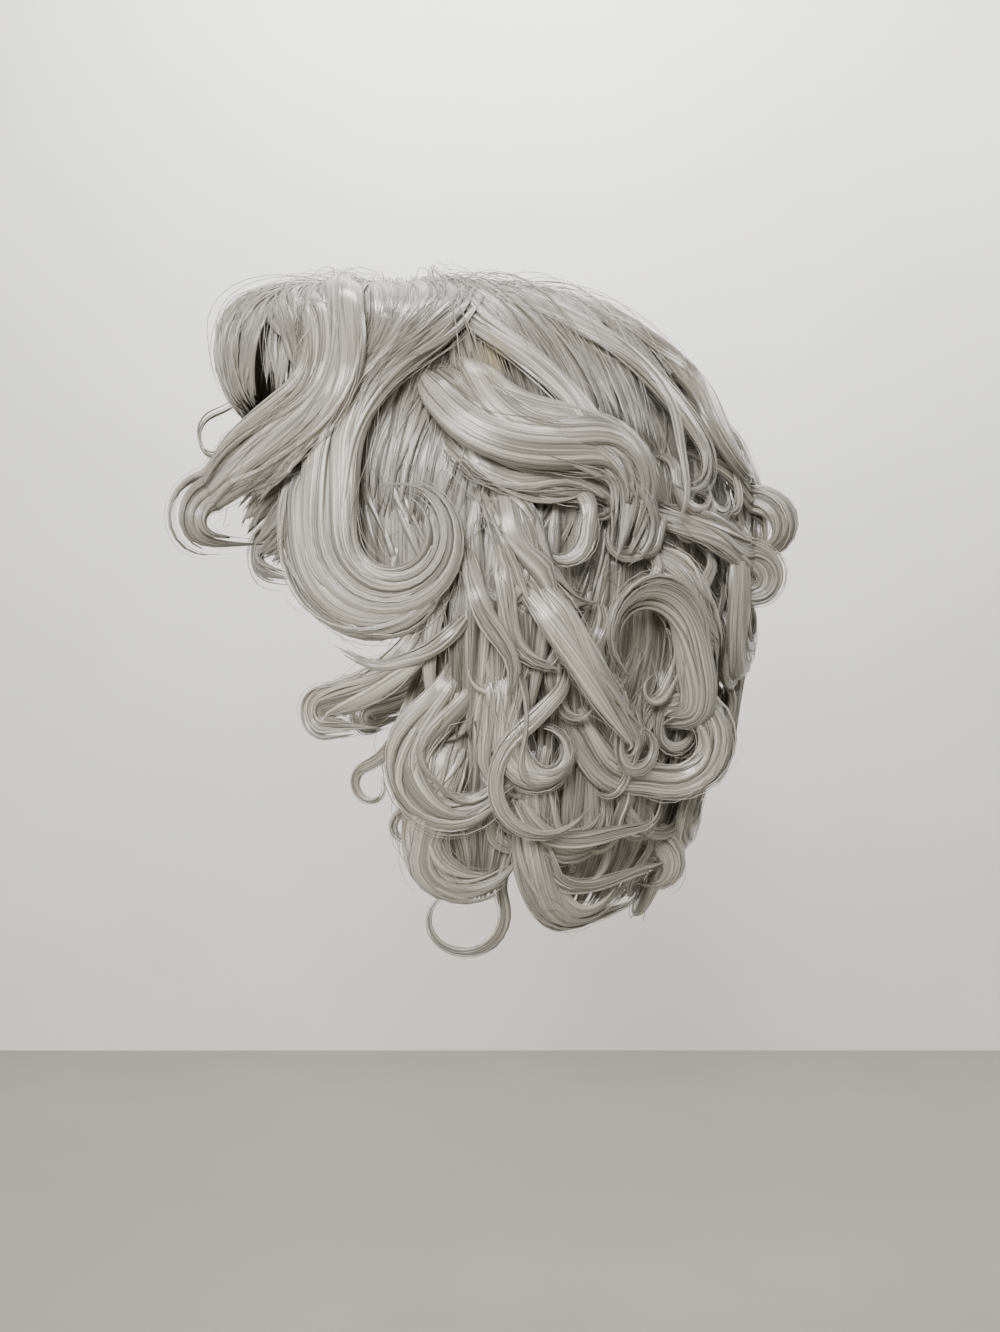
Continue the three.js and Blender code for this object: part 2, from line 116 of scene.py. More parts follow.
# Locks of the back and the nape
BACK_LOCKS = [
    ("back_drop_left", 158, 52, 163, 38, 166, 20, 17, 150, 240, 26, 0, 0, 0, 0),
    ("back_drop_right", 204, 54, 202, 40, 197, 24, 18, 40, -240, 26, 0, 0, 0, 0),
    ("back_wave", 183, 34, 180, 16, 186, 0, 17, 170, 250, 22, 0, 0, 0, 0),
    ("back_spiral_left", 158, 6, 157, -6, 167, -17, 18, 175, 300, 18, 0, 0, 0, 0),
    ("back_spiral_right", 208, 8, 207, -4, 198, -17, 18, 5, -310, 18, 0, 0, 0, 0),
    ("nape_middle", 184, -16, 181, -26, 183, -37, 16, 150, 280, 17, 0, 0, 0, 0),
    ("nape_curl_left", 166, -28, 160, -38, 167, -48, 16, 165, 250, 16, 0, 0, 0, 0),
    ("nape_curl_right", 202, -26, 206, -38, 198, -48, 17, 10, -260, 16, 0, 0, 0, 0),
    ("nape_end", 180, -48, 176, -54, 182, -61, 14, 170, 220, 15, 0, 0, 0, 0),
]

# Slim locks that lie over the broad ones
SLIM_LOCKS = [
    ("ear_strand", 92, -4, 95, -18, 82, -30, 36, 5, -28, 6, 2, 0, 0, 0),
    ("ear_hook", 101, -4, 100, -12, 112, -21, 19, 185, 100, 7, 0, 0, 0, 0),
    ("long_c", 118, -30, 112, -33, 112, -46, 24, 110, 230, 6, 6, 0, 0, 0),
    ("nape_loop", 130, -46, 140, -52, 158, -49, 7, 265, 220, 5, 0, 60, 0, 0),
    ("jaw_ring", 80, -36, 76, -42, 69, -49, 8, 90, 330, 4, 0, 0, 0, 0),
    ("neck_wisp", 84, -44, 80, -50, 77, -55, 6, 90, 280, 3.5, 0, 0, 0, 0),
    ("temple_under", 36, 42, 48, 36, 42, 26, 17, 10, -50, 8, -6, 0, 8, 0),
    ("crown_strand", 118, 58, 140, 26, 128, 6, 22, 20, -70, 4, 3, 0, 0, 0),
    ("neck_lining", 102, -46, 99, -52, 99, -58, 8, 150, 120, 22, -7, 0, 0, 0),
    ("temple_lining", 60, 16, 54, 4, 44, -6, 9, 100, -60, 14, -6, 0, 10, 0),
    ("cheek_strand", 97, -18, 86, -26, 74, -24, 12, 300, -60, 5, 0, 0, 14, 0),
    ("nape_sweep", 104, -54, 118, -60, 154, -54, 9, 265, 110, 6, 2, 0, 0, 0),
    ("nape_under", 108, -60, 122, -66, 150, -61, 9, 265, 90, 6, 1, 0, 0, 0),
    ("nape_over", 100, -46, 112, -53, 138, -48, 10, 265, 110, 6, 4, 0, 0, 0),
]

# Where the long locks come from: places between the parting and the lock's root
LEADS = {
    "temple_sweep": ((3, 66),),
    "jaw_roll": ((100, 85), (92, 64)),
    "crown_fall": ((60, 86), (84, 64)),
    "back_fall": ((60, 86),),
    "back_drop_left": ((170, 84),),
    "back_drop_right": ((190, 84),),
}
LEAD_DEPTH = -2.0
PARTING_DEPTH = -8.0

# How a lock's middle line is drawn
STEM_STEPS = 14
LEAST_STEM_STEPS = 2
CURL_STEP = 10
LEAST_CURL_STEPS = 3
TAIL_STEPS = 4
CURL_PULL = 0.5
PATH_STEP = 4.5
LOCK_POINTS = (14, 50)
CURL_FINENESS = 0.32
SMOOTHING = 4
BEND_ROOM = 10.0

# A lock's width along it: gathered at the root, then full, then drawn in
ROOT_WIDTH = 0.7
GATHER_END = 0.3
DRAW_START = 0.65
DRAW_IN = 0.65
DRAW_POWER = 1.4

# A wisp's width along it: a little narrow at its root and drawn in to its tip
WISP_ROOT = 0.25
WISP_ROOT_END = 0.22
WISP_TIP = 0.6
TIP_DRAW = 0.94
TIP_POWER = 1.5

# A lock's core and wisps, as shares of the lock's own sizes
CORE_CORNERS = 8
CORE_SHARE = 0.8
# The core's lower tone is painted shade: it shows darker in the gaps between the wisps.
CORE_SHADE_TONE = 0.92
WISP_CORNERS = 7
THIN_WISP_CORNERS = 5
WISP_BROAD = 0.42
EDGE_WISP_BROAD = 0.9
WISP_DEEP = 0.3
WISP_REST = (0.68, 0.84)
THIN_WISP_RAISE = 0.04
WISP_SPREAD = (0.1, 0.9)
WISP_END = (0.84, 1)
WISP_STRAY = 0.34
DEPTH_STRAY = 0.5
WISP_SIZE = (0.9, 1.3)
THIN_WISP_SIZE = (0.35, 0.6)
LOCK_TONE = (0.94, 1.05)
WISP_TONE = (0.9, 1.08)
GROOVE = 0.1
GROOVE_TURNS = (0.3, 1.0)
DRIFT_TURNS = (0.5, 2.2)

# Fine strands on a lock, and hairs that fly away from it
FINE_SECTION = ((1, -0.58), (0, 1.15), (-1, -0.58))
FINE_RADIUS = (0.1, 0.2)
FLYAWAY_RADIUS = (0.07, 0.12)
STRAND_TIP = 0.7
STRAND = {"depth": (0.95, 1.12), "stray": (0.1, 0.4), "end": (0.75, 1), "tone": (0.95, 1.2)}
FLYAWAY = {"start": (0, 0.5), "depth": (1.15, 1.5), "stray": (0.3, 0.6), "length": (0.3, 0.5),
           "tone": (1.0, 1.2)}
PATTERN_SHIFT = (0, 400)
COMBED_ROLL = (-20, 20)

# How many wisps, strands and flyaways a lock has. A main lock has more of them the wider it is.
WISPS_PER_MM = 0.6
MAIN_WISPS = (6, 13)
STRANDS_PER_MM = 1.1
MAIN_STRANDS = (10, 24)
MAIN_FLYAWAYS = 6
SLIM_COUNTS = (5, 5, 4)
FILL_COUNTS = (3, 3, 1)


# Places on the wig
def way_to(lon, lat):
    """Unit direction from the cap's centre; lon and lat may be arrays."""
    a, b = np.radians(lon), np.radians(lat)
    return np.stack([np.sin(a) * np.cos(b), -np.cos(a) * np.cos(b), np.sin(b) + 0 * a], axis=-1)


def axes_of(form, way):
    """Half axes of a form on the side that a direction points to."""
    side = np.full(way.shape[:-1], float(form["side"]))
    depth = np.where(way[..., 1] < 0, form["front"], form["back"])
    height = np.where(way[..., 2] > 0, form["up"], form["down"])
    return np.stack([side, depth, height], axis=-1)


def form_radius(form, way):
    return 1 / np.linalg.norm(way / axes_of(form, way), axis=-1)


def cap_radius(way):
    return form_radius(HEAD_ROOM, way) + CAP_WALL


def hair_radius(way):
    """Radius of the hair's form, with the raised roll in front."""
    lat = np.degrees(np.arcsin(np.clip(way[..., 2], -1, 1)))
    lon = np.degrees(np.arctan2(way[..., 0], -way[..., 1]))
    spread = ((lat - QUIFF["lat"]) / QUIFF["lat_spread"]) ** 2 + (lon / QUIFF["lon_spread"]) ** 2
    return form_radius(HAIR, way) + QUIFF["reach"] * np.exp(-spread / 2)


def place_at(way, radius):
    return HEAD_CENTRE + way * np.asarray(radius)[..., None]


def unit(v):
    return v / np.maximum(np.linalg.norm(v, axis=-1, keepdims=True), TINY)


def turned(a, b, degrees):
    return a * math.cos(math.radians(degrees)) + b * math.sin(math.radians(degrees))


def surface_frame(way):
    """Outward, backward and upward directions on the hair's surface. Low curls hang nearly upright."""
    out = unit(way / axes_of(HAIR, way) ** 2)
    out = unit(out * np.array([1, 1, HANG if out[2] < 0 else 1]))
    east = unit(np.cross([0, 0, 1], out))
    return out, east, np.cross(out, east)


def edge_at(table, lon):
    """An edge's latitude at a longitude; the right side mirrors the left."""
    side = np.where(np.asarray(lon) > 180, 360 - np.asarray(lon), lon)
    return np.interp(side, list(table), list(table.values()))


def smoothstep(x, low, high):
    t = np.clip((x - low) / (high - low), 0, 1)
    return t * t * (3 - 2 * t)


def backing_radius(way, lon, lat):
    """Outer radius of the combed hair that carries the locks, thin at its lower edge."""
    base = cap_radius(way)
    full = smoothstep(lat - edge_at(HAIR_EDGE, lon), 0, EDGE_RUN)
    share = BACKING_SHARE * (EDGE_SHARE + (1 - EDGE_SHARE) * full)
    return base + np.maximum(BACKING_LEAST, (hair_radius(way) - base) * share)


# Lock paths
def curved_stretch(a, b, start, end, steps):
    """A curve from a to b that leaves along start and arrives along end, without its last point."""
    span = np.linalg.norm(b - a)
    t = (np.arange(steps) / steps)[:, None]
    s = 1 - t
    after_a = a + start * HANDLE * span
    before_b = b - end * HANDLE * span
    return s ** 3 * a + 3 * s * s * t * after_a + 3 * s * t * t * before_b + t ** 3 * b


def lead_line(lock, lead):
    """The stretch of a long lock from the parting to its root, without its last point."""
    mirror = -1 if lock["root_lon"] > 180 and lead[0][0] < 180 else 1
    stops = [(mirror * lon, lat, LEAD_DEPTH if i else PARTING_DEPTH) for i, (lon, lat) in enumerate(lead)]
    stops.append((lock["root_lon"], lock["root_lat"], LEAD_DEPTH))
    return surface_line(stops, STEM_STEPS)[:-1]


def lock_path(lock):
    """Middle line of a lock: up out of the backing, along the hair and round its curl."""
    root_way = way_to(lock["root_lon"], lock["root_lat"])
    via_way = way_to(lock["via_lon"], lock["via_lat"])
    curl_way = way_to(lock["curl_lon"], lock["curl_lat"])
    out, east, north = surface_frame(curl_way)
    across = turned(east, out, lock["stand"])
    centre = place_at(curl_way, hair_radius(curl_way) + lock["lift"] - LOCK_SINK)
    turn = 1 if lock["sweep"] > 0 else -1
    root = place_at(root_way, hair_radius(root_way))
    via = place_at(via_way, hair_radius(via_way))
    join = centre + lock["radius"] * turned(across, north, lock["join"])
    away = turned(across, north, lock["join"] + 90 * turn)
    leave = unit(via - root)
    passing = unit(unit(join - root) + leave + CURL_PULL * away)
    first, second = np.linalg.norm(via - root), np.linalg.norm(join - via)
    first_steps = max(LEAST_STEM_STEPS, round(STEM_STEPS * first / (first + second)))
    second_steps = max(LEAST_STEM_STEPS, STEM_STEPS - first_steps)
    stem = np.concatenate([curved_stretch(root, via, leave, passing, first_steps),
                           curved_stretch(via, join, passing, away, second_steps)])
    lead = LEADS.get(lock["name"])
    sunk = min(ROOT_DEPTH * (cap_radius(root_way) - hair_radius(root_way)),
               mat_height(lock["root_lon"], lock["root_lat"]))
    root_lift = LEAD_DEPTH if lead else sunk
    join_lift = np.linalg.norm(join - HEAD_CENTRE) - hair_radius(unit(join - HEAD_CENTRE))
    way = unit(stem - HEAD_CENTRE)
    rise = smoothstep(np.arange(len(way)) / len(way), 0, RISE_END)
    stem = place_at(way, hair_radius(way) + root_lift * (1 - rise) + join_lift * rise)
    curl_steps = max(LEAST_CURL_STEPS, round(abs(lock["sweep"]) / CURL_STEP))
    angles = np.linspace(0, lock["sweep"], curl_steps + 1)
    radii = lock["radius"] * (1 - CURL_SHRINK * np.abs(angles) / 360)
    curl = np.array([centre + r * turned(across, north, lock["join"] + a) for a, r in zip(angles, radii)])
    points = np.concatenate([stem, curl])
    if lead:
        points = np.concatenate([lead_line(lock, lead), points])
    if lock["tail"]:
        ahead = unit(points[-1] - points[-2])
        reach = lock["tail"] * np.linspace(1 / TAIL_STEPS, 1, TAIL_STEPS)
        points = np.concatenate([points, points[-1] + ahead * reach[:, None]])
    return points


def evened(points, count):
    """The same line with its points closer together on bends and its small kinks rounded off."""
    steps = np.diff(points, axis=0)
    ways = unit(steps)
    bends = np.arccos(np.clip((ways[1:] * ways[:-1]).sum(axis=1), -1, 1))
    room = np.linalg.norm(steps, axis=1) + BEND_ROOM * np.concatenate([[0], bends])
    reach = np.concatenate([[0], np.cumsum(room)])
    even = np.linspace(0, reach[-1], count)
    line = np.stack([np.interp(even, reach, points[:, i]) for i in range(3)], axis=1)
    for _ in range(SMOOTHING):
        line[1:-1] = (line[:-2] + 2 * line[1:-1] + line[2:]) / 4
    return line


def lengths_along(line):
    """Length from a line's start to each of its points."""
    return np.concatenate([[0], np.cumsum(np.linalg.norm(np.diff(line, axis=0), axis=1))])


def carried_frames(line, roll):
    """Side and up along a line: flat on the hair at its start, carried without twist and then rolled."""
    out, _, _ = surface_frame(unit(line[0] - HEAD_CENTRE))
    tangent = unit(np.gradient(line, axis=0))
    side = np.empty_like(line)
    side[0] = unit(np.cross(out, tangent[0]))
    for i in range(1, len(line)):
        side[i] = unit(side[i - 1] - tangent[i] * (side[i - 1] @ tangent[i]))
    up = np.cross(tangent, side)
    angle = np.radians(roll) * np.linspace(0, 1, len(line))[:, None]
    return side * np.cos(angle) + up * np.sin(angle), up * np.cos(angle) - side * np.sin(angle)


def width_share(along):
    """A lock's width along it, as a share of its full width."""
    gathered = ROOT_WIDTH + (1 - ROOT_WIDTH) * np.minimum(1, along / GATHER_END)
    drawn_in = 1 - DRAW_IN * np.clip((along - DRAW_START) / (1 - DRAW_START), 0, 1) ** DRAW_POWER
    return gathered * drawn_in


# Fibre meshes
def fibre_mesh(name, places, faces, maps, tones):
    """A smooth mesh with a map for each corner of its faces and a tone for each point."""
    data = bpy.data.meshes.new(name)
    data.from_pydata((places * METRES).tolist(), [], faces)
    layer = data.uv_layers.new(name="fibre")
    layer.data.foreach_set("uv", maps.astype(np.float32).ravel())
    tone = data.attributes.new("tone", "FLOAT", "POINT")
    tone.data.foreach_set("value", tones.astype(np.float32))
    data.polygons.foreach_set("use_smooth", np.ones(len(data.polygons), dtype=bool))
    data.update()
    return data


class Fibres:
    """Collects closed strips and fine strands, then makes one mesh of them."""

    def __init__(self):
        self.places, self.faces, self.maps, self.tones = [], [], [], []
        self.count = 0

    def add(self, line, side, up, half_width, half_thickness, section, tone, offset):
        """Adds a closed strip along a line, with its map in millimetres across and along."""
        corners = np.asarray(section, dtype=float)
        n, k = len(line), corners.shape[-2]
        ring = (line[:, None] + side[:, None] * (corners[..., :1] * half_width[:, None, None])
                + up[:, None] * (corners[..., 1:] * half_thickness[:, None, None]))
        numbers = self.count + np.arange(n * k).reshape(n, k)
        after = np.roll(numbers, -1, axis=1)
        walls = np.stack([numbers[:-1], numbers[1:], after[1:], after[:-1]], axis=-1).reshape(-1, 4)
        middle = ring[n // 2]
        edges = np.linalg.norm(np.roll(middle, -1, axis=0) - middle, axis=1)
        spans = np.concatenate([[0], np.cumsum(edges)]) + offset
        reach = lengths_along(line) + offset
        grid = np.stack(np.broadcast_arrays(spans[None, :], reach[:, None]), axis=-1)
        maps = np.stack([grid[:-1, :-1], grid[1:, :-1], grid[1:, 1:], grid[:-1, 1:]], axis=2).reshape(-1, 2)
        self.places.append(ring.reshape(-1, 3))
        self.faces.extend(walls.tolist())
        self.faces.append(numbers[0].tolist())
        self.faces.append(numbers[-1, ::-1].tolist())
        self.maps.append(maps)
        self.maps.append(np.tile([[offset, offset]], (2 * k, 1)))
        self.tones.append(np.full(n * k, tone))
        self.count += n * k

    def mesh(self, name):
        """One mesh of all the strips."""
        maps, tones = np.concatenate(self.maps), np.concatenate(self.tones)
        return fibre_mesh(name, np.concatenate(self.places), self.faces, maps, tones)


def wander(rng, along, size):
    """A slow sideways drift along a strand."""
    turns, phase = rng.uniform(*DRIFT_TURNS), rng.uniform(0, 2 * math.pi)
    return size * np.sin(2 * math.pi * turns * along + phase)


def drawn_to_tip(own, start):
    """A wisp's width along it, drawn in from the start of its tip."""
    gathered = WISP_ROOT + (1 - WISP_ROOT) * smoothstep(own, 0, WISP_ROOT_END)
    return gathered * (1 - TIP_DRAW * np.clip((own - start) / (1 - start), 0, 1) ** TIP_POWER)


def grooved(rng, corners, along):
    """A rounded outline whose shallow grooves drift slowly along a wisp."""
    around = 2 * math.pi * np.arange(corners) / corners
    phase = rng.uniform(0, 2 * math.pi, corners)
    turns = rng.uniform(*GROOVE_TURNS, corners)
    cut = 1 - GROOVE * (1 + np.sin(phase + 2 * math.pi * turns * along[:, None]))
    return np.stack([np.cos(around) * cut, np.sin(around) * cut], axis=-1)


def draw_lock(fibres, rng, lock, wisps, strands, flyaways):
    """A lock: a core painted darker as shade between its wisps, grooved wisps round it, fine strands and a
    few hairs that fly away from it.
    """
    points = lock_path(lock)
    step = min(PATH_STEP, lock["radius"] * CURL_FINENESS)
    line = evened(points, int(np.clip(lengths_along(points)[-1] / step, *LOCK_POINTS)))
    side, up = carried_frames(line, lock["roll"])
    lengths = lengths_along(line)
    along = lengths / lengths[-1]
    half_width = lock["width"] * width_share(along) / 2
    half_thickness = np.minimum(half_width, np.maximum(LEAST_THICKNESS / 2, half_width * LOCK_THICKNESS))
    lock_tone = rng.uniform(*LOCK_TONE)

    def placed(angle, depth, stray, start, stop):
        """Middle line, flat side, face, share and sizes of a wisp at an angle round the lock."""
        keep = (along >= start) & (along <= stop)
        own = (along[keep] - start) / (stop - start)
        drift = angle + wander(rng, own, stray)
        reach = (depth + wander(rng, own, DEPTH_STRAY * stray))[:, None]
        c, s = np.cos(drift)[:, None], np.sin(drift)[:, None]
        w, h = half_width[keep][:, None], half_thickness[keep][:, None]
        middle = line[keep] + side[keep] * (c * w * reach) + up[keep] * (s * h * reach)
        flat = unit(up[keep] * (c * h) - side[keep] * (s * w))
        face = unit(side[keep] * (c * h) + up[keep] * (s * w))
        broad = np.abs(s) * w * WISP_BROAD + np.abs(c) * h * EDGE_WISP_BROAD
        deep = np.abs(s) * h * WISP_DEEP + np.abs(c) * h * WISP_DEEP
        return middle, flat, face, own, broad[:, 0], deep[:, 0]

    def strand(depth, stray, start, stop, radius, tone):
        """One fine hair at any angle round the lock."""
        middle, flat, face, own, _, _ = placed(rng.uniform(0, 2 * math.pi), depth, stray, start, stop)
        size = radius * drawn_to_tip(own, STRAND_TIP)
        fibres.add(middle, flat, face, size, size, FINE_SECTION, tone, rng.uniform(*PATTERN_SHIFT))

    taper = CORE_SHARE * drawn_to_tip(along, WISP_TIP)
    around = 2 * math.pi * np.arange(CORE_CORNERS) / CORE_CORNERS
    core = np.stack([np.cos(around), np.sin(around)], axis=-1)
    fibres.add(line, -side, up, half_width * taper, half_thickness * taper, core, CORE_SHADE_TONE * lock_tone,
               rng.uniform(*PATTERN_SHIFT))
    for k in range(wisps):
        thin = k % 2
        angle = 2 * math.pi * (k + rng.uniform(*WISP_SPREAD)) / wisps
        depth = rng.uniform(*WISP_REST) + THIN_WISP_RAISE * thin
        stop = rng.uniform(*WISP_END)
        middle, flat, face, own, broad, deep = placed(angle, depth, WISP_STRAY, 0, stop)
        size = rng.uniform(*(THIN_WISP_SIZE if thin else WISP_SIZE)) * drawn_to_tip(own, WISP_TIP)
        section = grooved(rng, THIN_WISP_CORNERS if thin else WISP_CORNERS, own)
        tone = lock_tone * rng.uniform(*WISP_TONE)
        fibres.add(middle, flat, face, broad * size, deep * size, section, tone, rng.uniform(*PATTERN_SHIFT))
    for _ in range(strands):
        depth, stray = rng.uniform(*STRAND["depth"]), rng.uniform(*STRAND["stray"])
        stop, radius = rng.uniform(*STRAND["end"]), rng.uniform(*FINE_RADIUS)
        strand(depth, stray, 0, stop, radius, lock_tone * rng.uniform(*STRAND["tone"]))
    for _ in range(flyaways):
        start = rng.uniform(*FLYAWAY["start"])
        depth, stray = rng.uniform(*FLYAWAY["depth"]), rng.uniform(*FLYAWAY["stray"])
        stop, radius = start + rng.uniform(*FLYAWAY["length"]), rng.uniform(*FLYAWAY_RADIUS)
        strand(depth, stray, start, stop, radius, rng.uniform(*FLYAWAY["tone"]))


def main_counts(lock):
    """Wisps, strands and flyaways of a main lock."""
    wisps = int(np.clip(lock["width"] * WISPS_PER_MM, *MAIN_WISPS))
    strands = int(np.clip(lock["width"] * STRANDS_PER_MM, *MAIN_STRANDS))
    return wisps, strands, MAIN_FLYAWAYS


def surface_line(stops, count):
    """A smooth line over the hair through rows of longitude, latitude and height over the hair's form."""
    rows = np.array(stops, dtype=float)
    ways = np.column_stack([way_to(rows[:, 0], rows[:, 1]), rows[:, 2]])
    padded = np.concatenate([2 * ways[:1] - ways[1:2], ways, 2 * ways[-1:] - ways[-2:-1]])
    t = np.linspace(0, len(rows) - 1, count)
    i = np.minimum(t.astype(int), len(rows) - 2)
    f = (t - i)[:, None]
    a, b, c, d = (padded[i + j] for j in range(4))
    square = (2 * a - 5 * b + 4 * c - d) * f ** 2
    cube = (3 * b - a - 3 * c + d) * f ** 3
    spot = 0.5 * (2 * b + (c - a) * f + square + cube)
    way = unit(spot[:, :3])
    return place_at(way, hair_radius(way) + spot[:, 3])


def draw_combed(fibres, rng, stops, half, thin, corners, tone, count, tip=WISP_TIP):
    """A wisp or strand combed over the hair's form; a wisp has grooves and a strand three corners."""
    line = surface_line(stops, count)
    side, up = carried_frames(line, rng.uniform(*COMBED_ROLL))
    along = np.linspace(0, 1, len(line))
    taper = drawn_to_tip(along, tip)
    section = grooved(rng, corners, along) if corners else FINE_SECTION
    fibres.add(line, -side, up, half * taper, thin * taper, section, tone, rng.uniform(*PATTERN_SHIFT))


# Lists of locks
def named_lock(row):
    """A lock from its row."""
    return dict(zip(LOCK_COLUMNS, row))


def right_partner(lock, number):
    """A left lock's partner on the right, moved a little so that the sides differ."""
    swing, nod = math.sin(number * SWING_STEP), math.cos(number * NOD_STEP)
    return {
        **lock,
        "root_lon": 360 - lock["root_lon"],
        "via_lon": 360 - lock["via_lon"] + STRAY["lon"] * swing,
        "via_lat": lock["via_lat"] + STRAY["lat"] * nod,
        "curl_lon": 360 - lock["curl_lon"] + STRAY["lon"] * swing,
        "curl_lat": lock["curl_lat"] + STRAY["lat"] * nod,
        "radius": lock["radius"] * (1 + STRAY["radius"] * swing),
        "join": 180 - lock["join"] + STRAY["join"] * nod,
        "sweep": -lock["sweep"],
        "stand": -lock["stand"],
        "roll": -lock["roll"],
    }


# Borders of the sections: a latitude at each longitude
def crown_top(lon):
    return CROWN + 0 * lon


def nape_top(lon):
    return NAPE_TOP + 0 * lon


def hair_foot(lon):
    return edge_at(HAIR_EDGE, lon)


def fringe_top(lon):
    return edge_at(FRINGE_EDGE, lon)


def side_foot(lon):
    """The fringe's upper edge in front, and the hair's lower edge behind it."""
    from_front = np.where(lon > 180, 360 - lon, lon)
    return np.where(from_front < FRINGE_END, fringe_top(lon), hair_foot(lon))


# Where each section lies: its longitudes, its borders and its slot in the record
SECTIONS = {
    "left_hair": {"lons": (0, BACK_START), "low": side_foot, "high": crown_top, "slot": "hair_left"},
    "fringe_left": {"lons": (0, FRINGE_END), "low": hair_foot, "high": fringe_top,
                    "slot": "hair_fringe_left"},
    "back_hair": {"lons": (BACK_START, BACK_END), "low": nape_top, "high": crown_top, "slot": "hair_back"},
    "nape_hair": {"lons": (BACK_START, BACK_END), "low": hair_foot, "high": nape_top, "slot": "hair_nape"},
    "right_hair": {"lons": (BACK_END, 360), "low": side_foot, "high": crown_top, "slot": "hair_right"},
    "fringe_right": {"lons": (360 - FRINGE_END, 360), "low": hair_foot, "high": fringe_top,
                     "slot": "hair_fringe_right"},
}


def section_of(lock):
    """The section that holds a lock's root; a root below every section belongs to the nape."""
    lon, lat = np.float64(lock["root_lon"]), lock["root_lat"]
    for name, section in SECTIONS.items():
        low, high = section["lons"]
        if low <= lon <= high and section["low"](lon) <= lat <= section["high"](lon):
            return name
    return "nape_hair"


# Node materials
def linear(hex_colour):
    """A linear colour from sRGB hex."""
    parts = [int(hex_colour[i:i + 2], 16) / 255 for i in (1, 3, 5)]
    return tuple(c / 12.92 if c <= 0.04045 else ((c + 0.055) / 1.055) ** 2.4 for c in parts) + (1.0,)


def node(tree, kind, settings=None, inputs=None):
    """Adds a node, sets its properties, and sets or links its inputs."""
    made = tree.nodes.new(kind)
    for key, value in (settings or {}).items():
        setattr(made, key, value)
    for key, value in (inputs or {}).items():
        if isinstance(value, bpy.types.NodeSocket):
            tree.links.new(value, made.inputs[key])
        else:
            made.inputs[key].default_value = value
    return made


def set_ramp(ramp, stops):
    """Gives a colour ramp its stops: places and sRGB colours."""
    elements = ramp.color_ramp.elements
    while len(elements) < len(stops):
        elements.new(0.5)
    for element, (place, colour) in zip(elements, stops):
        element.position = place
        element.color = linear(colour)


def new_material(name):
    """A new material, its node tree and its shader."""
    material = bpy.data.materials.new(name)
    material.use_nodes = True
    return material, material.node_tree, material.node_tree.nodes["Principled BSDF"]


# Sockets of a mix node that hold its two colours and the mixed one
MIX_A = 6
MIX_B = 7
MIXED = 2

# Places where the net's colour shows through thin hair: the crown, and the cap's lower edge at the side.
# Each has its full strength in the inner share of its reach, and fades from there.
NET_SPOTS = (
    {"centre": (81, 15, -39), "reach": (30, 9, 14), "colour": "#A89A6E", "strength": 0.5},
    {"centre": (75, -3, -167), "reach": (16, 7, 16), "colour": "#8A6238", "strength": 0.6},
)
SPOT_INNER = 0.2


def net_shown(tree, colour):
    """A hair colour with the net's own colour mixed in round each spot."""
    place = node(tree, "ShaderNodeTexCoord")
    for spot in NET_SPOTS:
        offset = node(tree, "ShaderNodeVectorMath", {"operation": "SUBTRACT"},
                      {0: place.outputs["Object"], 1: [v * METRES for v in spot["centre"]]})
        share = node(tree, "ShaderNodeVectorMath", {"operation": "DIVIDE"},
                     {0: offset.outputs[0], 1: [v * METRES for v in spot["reach"]]})
        length = node(tree, "ShaderNodeVectorMath", {"operation": "LENGTH"}, {0: share.outputs[0]})
        fade = node(tree, "ShaderNodeMapRange", {"interpolation_type": "SMOOTHSTEP"},
                    {"Value": length.outputs["Value"], "From Min": SPOT_INNER, "From Max": 1.0,
                     "To Min": spot["strength"], "To Max": 0.0})
        mixed = node(tree, "ShaderNodeMix", {"data_type": "RGBA"},
                     {"Factor": fade.outputs[0], MIX_A: colour, MIX_B: linear(spot["colour"])})
        colour = mixed.outputs[MIXED]
    return colour


# Synthetic hair is fine smooth fibre, set in waves by heat and combed into locks.
# The eye gets fine lines along each wisp, paler and darker hairs, and a soft bright band across each bend.
# A real fibre is under 0.1 mm wide, which is too fine to show, so its lines are drawn 0.7 mm wide.
FIBRE_LINES = {"wide": 0.7, "run": 70.0, "noise": {"Detail": 2.0, "Roughness": 0.6}}
CLUMP_LINES = {"wide": 3.5, "run": 90.0, "noise": {"Detail": 1.0}}
CLUMP_SHARE = 0.35
FIBRE_BUMP = {"Strength": 0.9, "Distance": 0.5 * METRES}
HAIR_FINISH = {"Anisotropic": 0.75, "Specular IOR Level": 1.0, "Sheen Weight": 0.3, "Sheen Roughness": 0.4}


